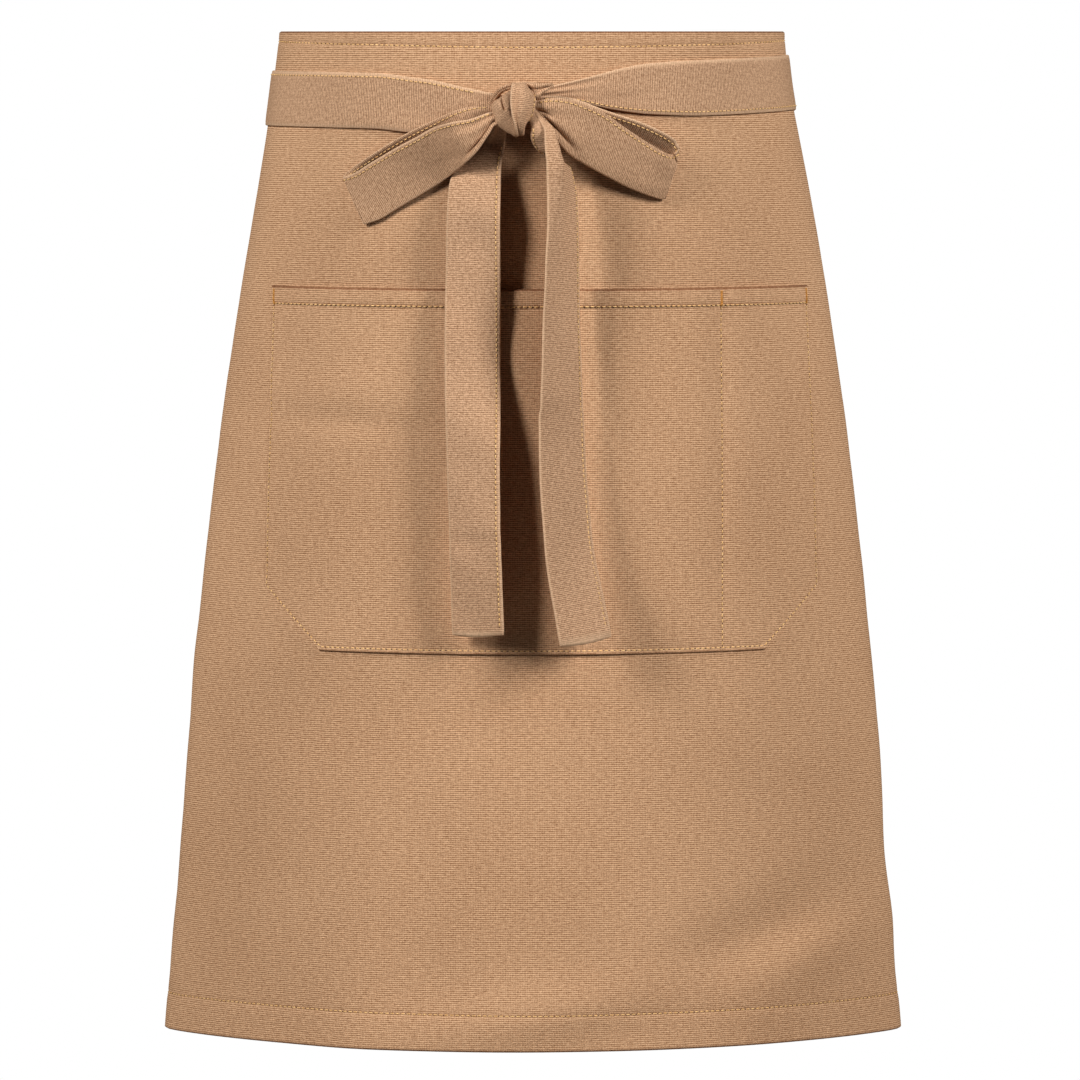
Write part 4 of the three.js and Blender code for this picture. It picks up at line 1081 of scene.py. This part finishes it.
for row in KNOT_LEDGES:
    start, end = np.array([row["x"], row["z"]]) * KNOT_HEIGHT, np.array([row["end_x"], row["end_z"]]) * KNOT_HEIGHT
    length = np.linalg.norm(end - start)
    way = (end - start) / length
    along = ((flat_x - start[0]) * way[0] + (flat_z - start[1]) * way[1]) / length
    beside = -(flat_x - start[0]) * way[1] + (flat_z - start[1]) * way[0]
    beside = beside - row["bow"] * KNOT_HEIGHT * np.sin(np.clip(along, 0, 1) * math.pi)
    within = step_up(along, -0.04, 0.05) * (1 - step_up(along, 1.04, 0.05)) * facing_us
    ledge = row["ledge"] * step_up(beside, 0, 0.18) * bump(beside, 9) - row["groove"] * bump(beside + 0.5, 0.9)
    depth += within * ledge
knot_middle = knot_centre + (0, 0, 1.6)
shaped = np.stack([flat_x, -depth, flat_z], axis=1) + knot_middle
knot.data.vertices.foreach_set("co", (shaped * MM).ravel())
layer = knot.data.uv_layers.active or knot.data.uv_layers.new()
layer.name = "cloth"
corner = np.empty(len(knot.data.loops), np.int32)
knot.data.loops.foreach_get("vertex_index", corner)
polar = np.arccos(np.clip(-ball[:, 1], -1, 1)) * KNOT_HEIGHT / 2
bearing = np.radians(bearing + 20)
wrap = np.stack([polar * np.cos(bearing), polar * np.sin(bearing)], axis=1) * MM
layer.data.foreach_set("uv", wrap[corner].ravel())
knot.data.polygons.foreach_set("use_smooth", [True] * len(knot.data.polygons))
hand_over(knot, tie_canvas, "knot")

# %% The band over the knot's front, and the strap that passes behind it
FRONT_WRAP = [
    dict(x=0.2, z=0.36, out=-0.05, lean=14, wide=0.44),
    dict(x=0.2, z=0.465, out=0.1, lean=14, wide=0.44),
    dict(x=0.195, z=0.45, out=0.26, lean=12, wide=0.45),
    dict(x=0.18, z=0.34, out=0.37, lean=8, wide=0.46),
    dict(x=0.168, z=0.18, out=0.42, lean=2, wide=0.45),
    dict(x=0.165, z=0, out=0.44, lean=-4, wide=0.41),
    dict(x=0.165, z=-0.18, out=0.42, lean=-10, wide=0.32),
    dict(x=0.155, z=-0.34, out=0.34, lean=-18, wide=0.23),
    dict(x=0.15, z=-0.42, out=0.2, lean=-26, wide=0.18),
    dict(x=0.14, z=-0.42, out=0, lean=-26, wide=0.15),
]
COLLAR = [
    dict(x=-0.45, z=0.08, out=-0.26, lean=30, wide=0.08),
    dict(x=-0.37, z=0.24, out=-0.2, lean=38, wide=0.09),
    dict(x=-0.22, z=0.4, out=-0.1, lean=58, wide=0.08),
    dict(x=0.02, z=0.47, out=-0.06, lean=84, wide=0.09),
    dict(x=0.24, z=0.44, out=0.04, lean=92, wide=0.17),
    dict(x=0.42, z=0.36, out=0.14, lean=95, wide=0.3),
    dict(x=0.56, z=0.42, out=0.12, lean=98, wide=0.17),
    dict(x=0.71, z=0.48, out=0.02, lean=94, wide=0.04),
]


def knot_band(name, table, dents=None):
    """A band of strap round the knot, from a table of shares of the knot's height."""
    row = walk(table, 80)
    lean = np.radians(row["lean"])
    offset = np.stack([row["x"], -row["out"], row["z"]], axis=1) * KNOT_HEIGHT
    wide = np.stack([np.cos(lean), 0 * lean, -np.sin(lean)], axis=1)
    sheet = strap_sheet(knot_middle + offset, wide, row["wide"] * KNOT_HEIGHT / TIE_WIDTH, 1, dents)
    return hand_over(cloth_piece(name, sheet[0], sheet[1], sheet[2]), tie_canvas, "knot"), sheet


def wrap_dents(travelled, share):
    """The wrap's right side, which turns back round the knot, and a slight hollow along its left edge."""
    turned_back = -0.21 * KNOT_HEIGHT * (np.clip(share + 0.05, 0, 0.55) / 0.55) ** 2.3
    return turned_back + 0.35 * np.sin(travelled / 3.1 + 5 * share) * bump(share + 0.1, 0.3)


knot_band("strap_collar", COLLAR)
_, wrap = knot_band("strap_front_wrap", FRONT_WRAP, wrap_dents)

# %% Stitches along the straps, and the crossed boxes that hold the ties' ends
def sewn_box(side):
    """A stitched box with a cross in it, on the end of the tie that covers the panel's back corner."""
    near, far = side * (HALF_WIDTH - TIE_OVERLAP + 5), side * (HALF_WIDTH - 4)
    middle = 0.36 * KNOT_DROP
    above, below = middle - TIE_WIDTH / 2 + 4, middle + TIE_WIDTH / 2 - 4
    ends = [(near, above, far, above), (far, above, far, below), (far, below, near, below), (near, below, near, above),
            (near, above, far, below), (near, below, far, above)]
    over = LAYER_GAP + TIE_THICKNESS
    share = np.linspace(0, 1, 12)
    return [
        panel_line(a + (c - a) * share, b + (d - b) * share, lambda across, drop: 0 * across, over) for a, b, c, d in ends
    ]


for name, side in (("left_tie", 1), ("right_tie", -1)):
    stitch_row("stitches_" + name, [strap_lines[name], *sewn_box(side)], thread, pitch=3.0)
for name, (outer, inner, flat, line_out, line_in, normal) in bow.items():
    keep = slice(14, -14) if "loop" in name else slice(24, -2)
    lines = [(line_out[keep], normal[keep]), (line_in[keep], -normal[keep])]
    stitch_row("stitches_" + name, lines, thread, pitch=3.0)
stitch_row("stitches_front_wrap", [(wrap[3][18:60], wrap[5][18:60])], thread, pitch=3.0)

# %% [markdown]
# ## Light and camera
# Two large softboxes stand left and right of the camera. Between the hanging ends both are blocked, which
# gives the one almost black shadow in the picture, while the cloth outside it is evenly lit. The camera is
# far away with a long lens, level with the top fold, so that the fold is a straight line and the hem bows.


# %% Softboxes, world and floor
def softbox(name, azimuth, elevation, distance, size, power, colour=(1, 1, 1), aim=(0, 0, -0.2), spread=60):
    """An area light on a circle round the apron. Azimuth 0 is at the camera, positive to its right."""
    light = bpy.data.lights.new(name, "AREA")
    light.shape = "RECTANGLE"
    light.size, light.size_y = size
    light.energy = power
    light.color = colour
    light.spread = math.radians(spread)
    lamp = bpy.data.objects.new(name, light)
    turn, rise = math.radians(azimuth), math.radians(elevation)
    reach = distance * math.cos(rise)
    lamp.location = (reach * math.sin(turn) + aim[0], -reach * math.cos(turn) + aim[1], distance * math.sin(rise) + aim[2])
    to = np.array(aim) - np.array(lamp.location)
    lamp.rotation_euler = (math.atan2(math.hypot(to[0], to[1]), -to[2]), 0, math.atan2(to[1], to[0]) - math.pi / 2)
    bpy.context.scene.collection.objects.link(lamp)
    return lamp


softbox("key_left", -51, 27, 3.0, (0.6, 1.3), 11.2)
softbox("key_right", 51, 27, 3.0, (0.6, 1.3), 10.9)
softbox("fill_behind", 180, 30, 3.0, (1.6, 1.2), 3)

world = bpy.data.worlds.new("white_room")
bpy.context.scene.world = world
world.use_nodes = True
world.node_tree.nodes.clear()
seen = add_node(world.node_tree, "ShaderNodeLightPath").outputs["Is Camera Ray"]
room = add_node(world.node_tree, "ShaderNodeBackground", Strength=0.01)
backdrop = add_node(world.node_tree, "ShaderNodeBackground", Strength=1.0)
for shade in (room, backdrop):
    shade.inputs["Color"].default_value = (1, 1, 1, 1)
mixed = add_node(world.node_tree, "ShaderNodeMixShader", {0: seen, 1: room.outputs[0], 2: backdrop.outputs[0]})
add_node(world.node_tree, "ShaderNodeOutputWorld", {"Surface": mixed.outputs[0]})

bpy.ops.object.select_all(action="DESELECT")
bpy.ops.mesh.primitive_cylinder_add(vertices=96, radius=1.1, depth=0.02, location=(0, 0, -1.05))
ground = bpy.context.object
ground.name = "pale_floor"
floor_paint, floor_tree, floor_shader = new_material("matt_white_floor_paint")
mottle = add_node(floor_tree, "ShaderNodeTexNoise", {"Vector": add_node(floor_tree, "ShaderNodeTexCoord").outputs["Object"]}, Scale=3.0)
tint = add_node(floor_tree, "ShaderNodeValToRGB", {"Fac": mottle.outputs["Fac"]})
tint.color_ramp.elements[0].color = linear("#EBE4DA")
tint.color_ramp.elements[1].color = linear("#F2ECE4")
floor_tree.links.new(tint.outputs["Color"], floor_shader.inputs["Base Color"])
floor_shader.inputs["Roughness"].default_value = 0.9
ground.data.materials.append(floor_paint)

# %% Camera
PICTURE = 1080
FOCAL_PIXELS = 7495
PITCH = 3.872
lens = bpy.data.cameras.new("long_lens")
lens.sensor_width = 36
lens.lens = FOCAL_PIXELS / PICTURE * lens.sensor_width
lens.clip_end = 50
camera = bpy.data.objects.new("camera", lens)
camera.location = (0.0044, -(WAIST_FRONT * MM + 4.4), 0)
camera.rotation_euler = (math.radians(90 - PITCH), 0, 0)
bpy.context.scene.collection.objects.link(camera)
bpy.context.scene.camera = camera
bpy.context.scene.view_settings.view_transform = "Standard"
bpy.context.scene.view_settings.look = "None"
bpy.context.scene.view_settings.gamma = 0.86
print("lens in mm:", round(lens.lens, 1))
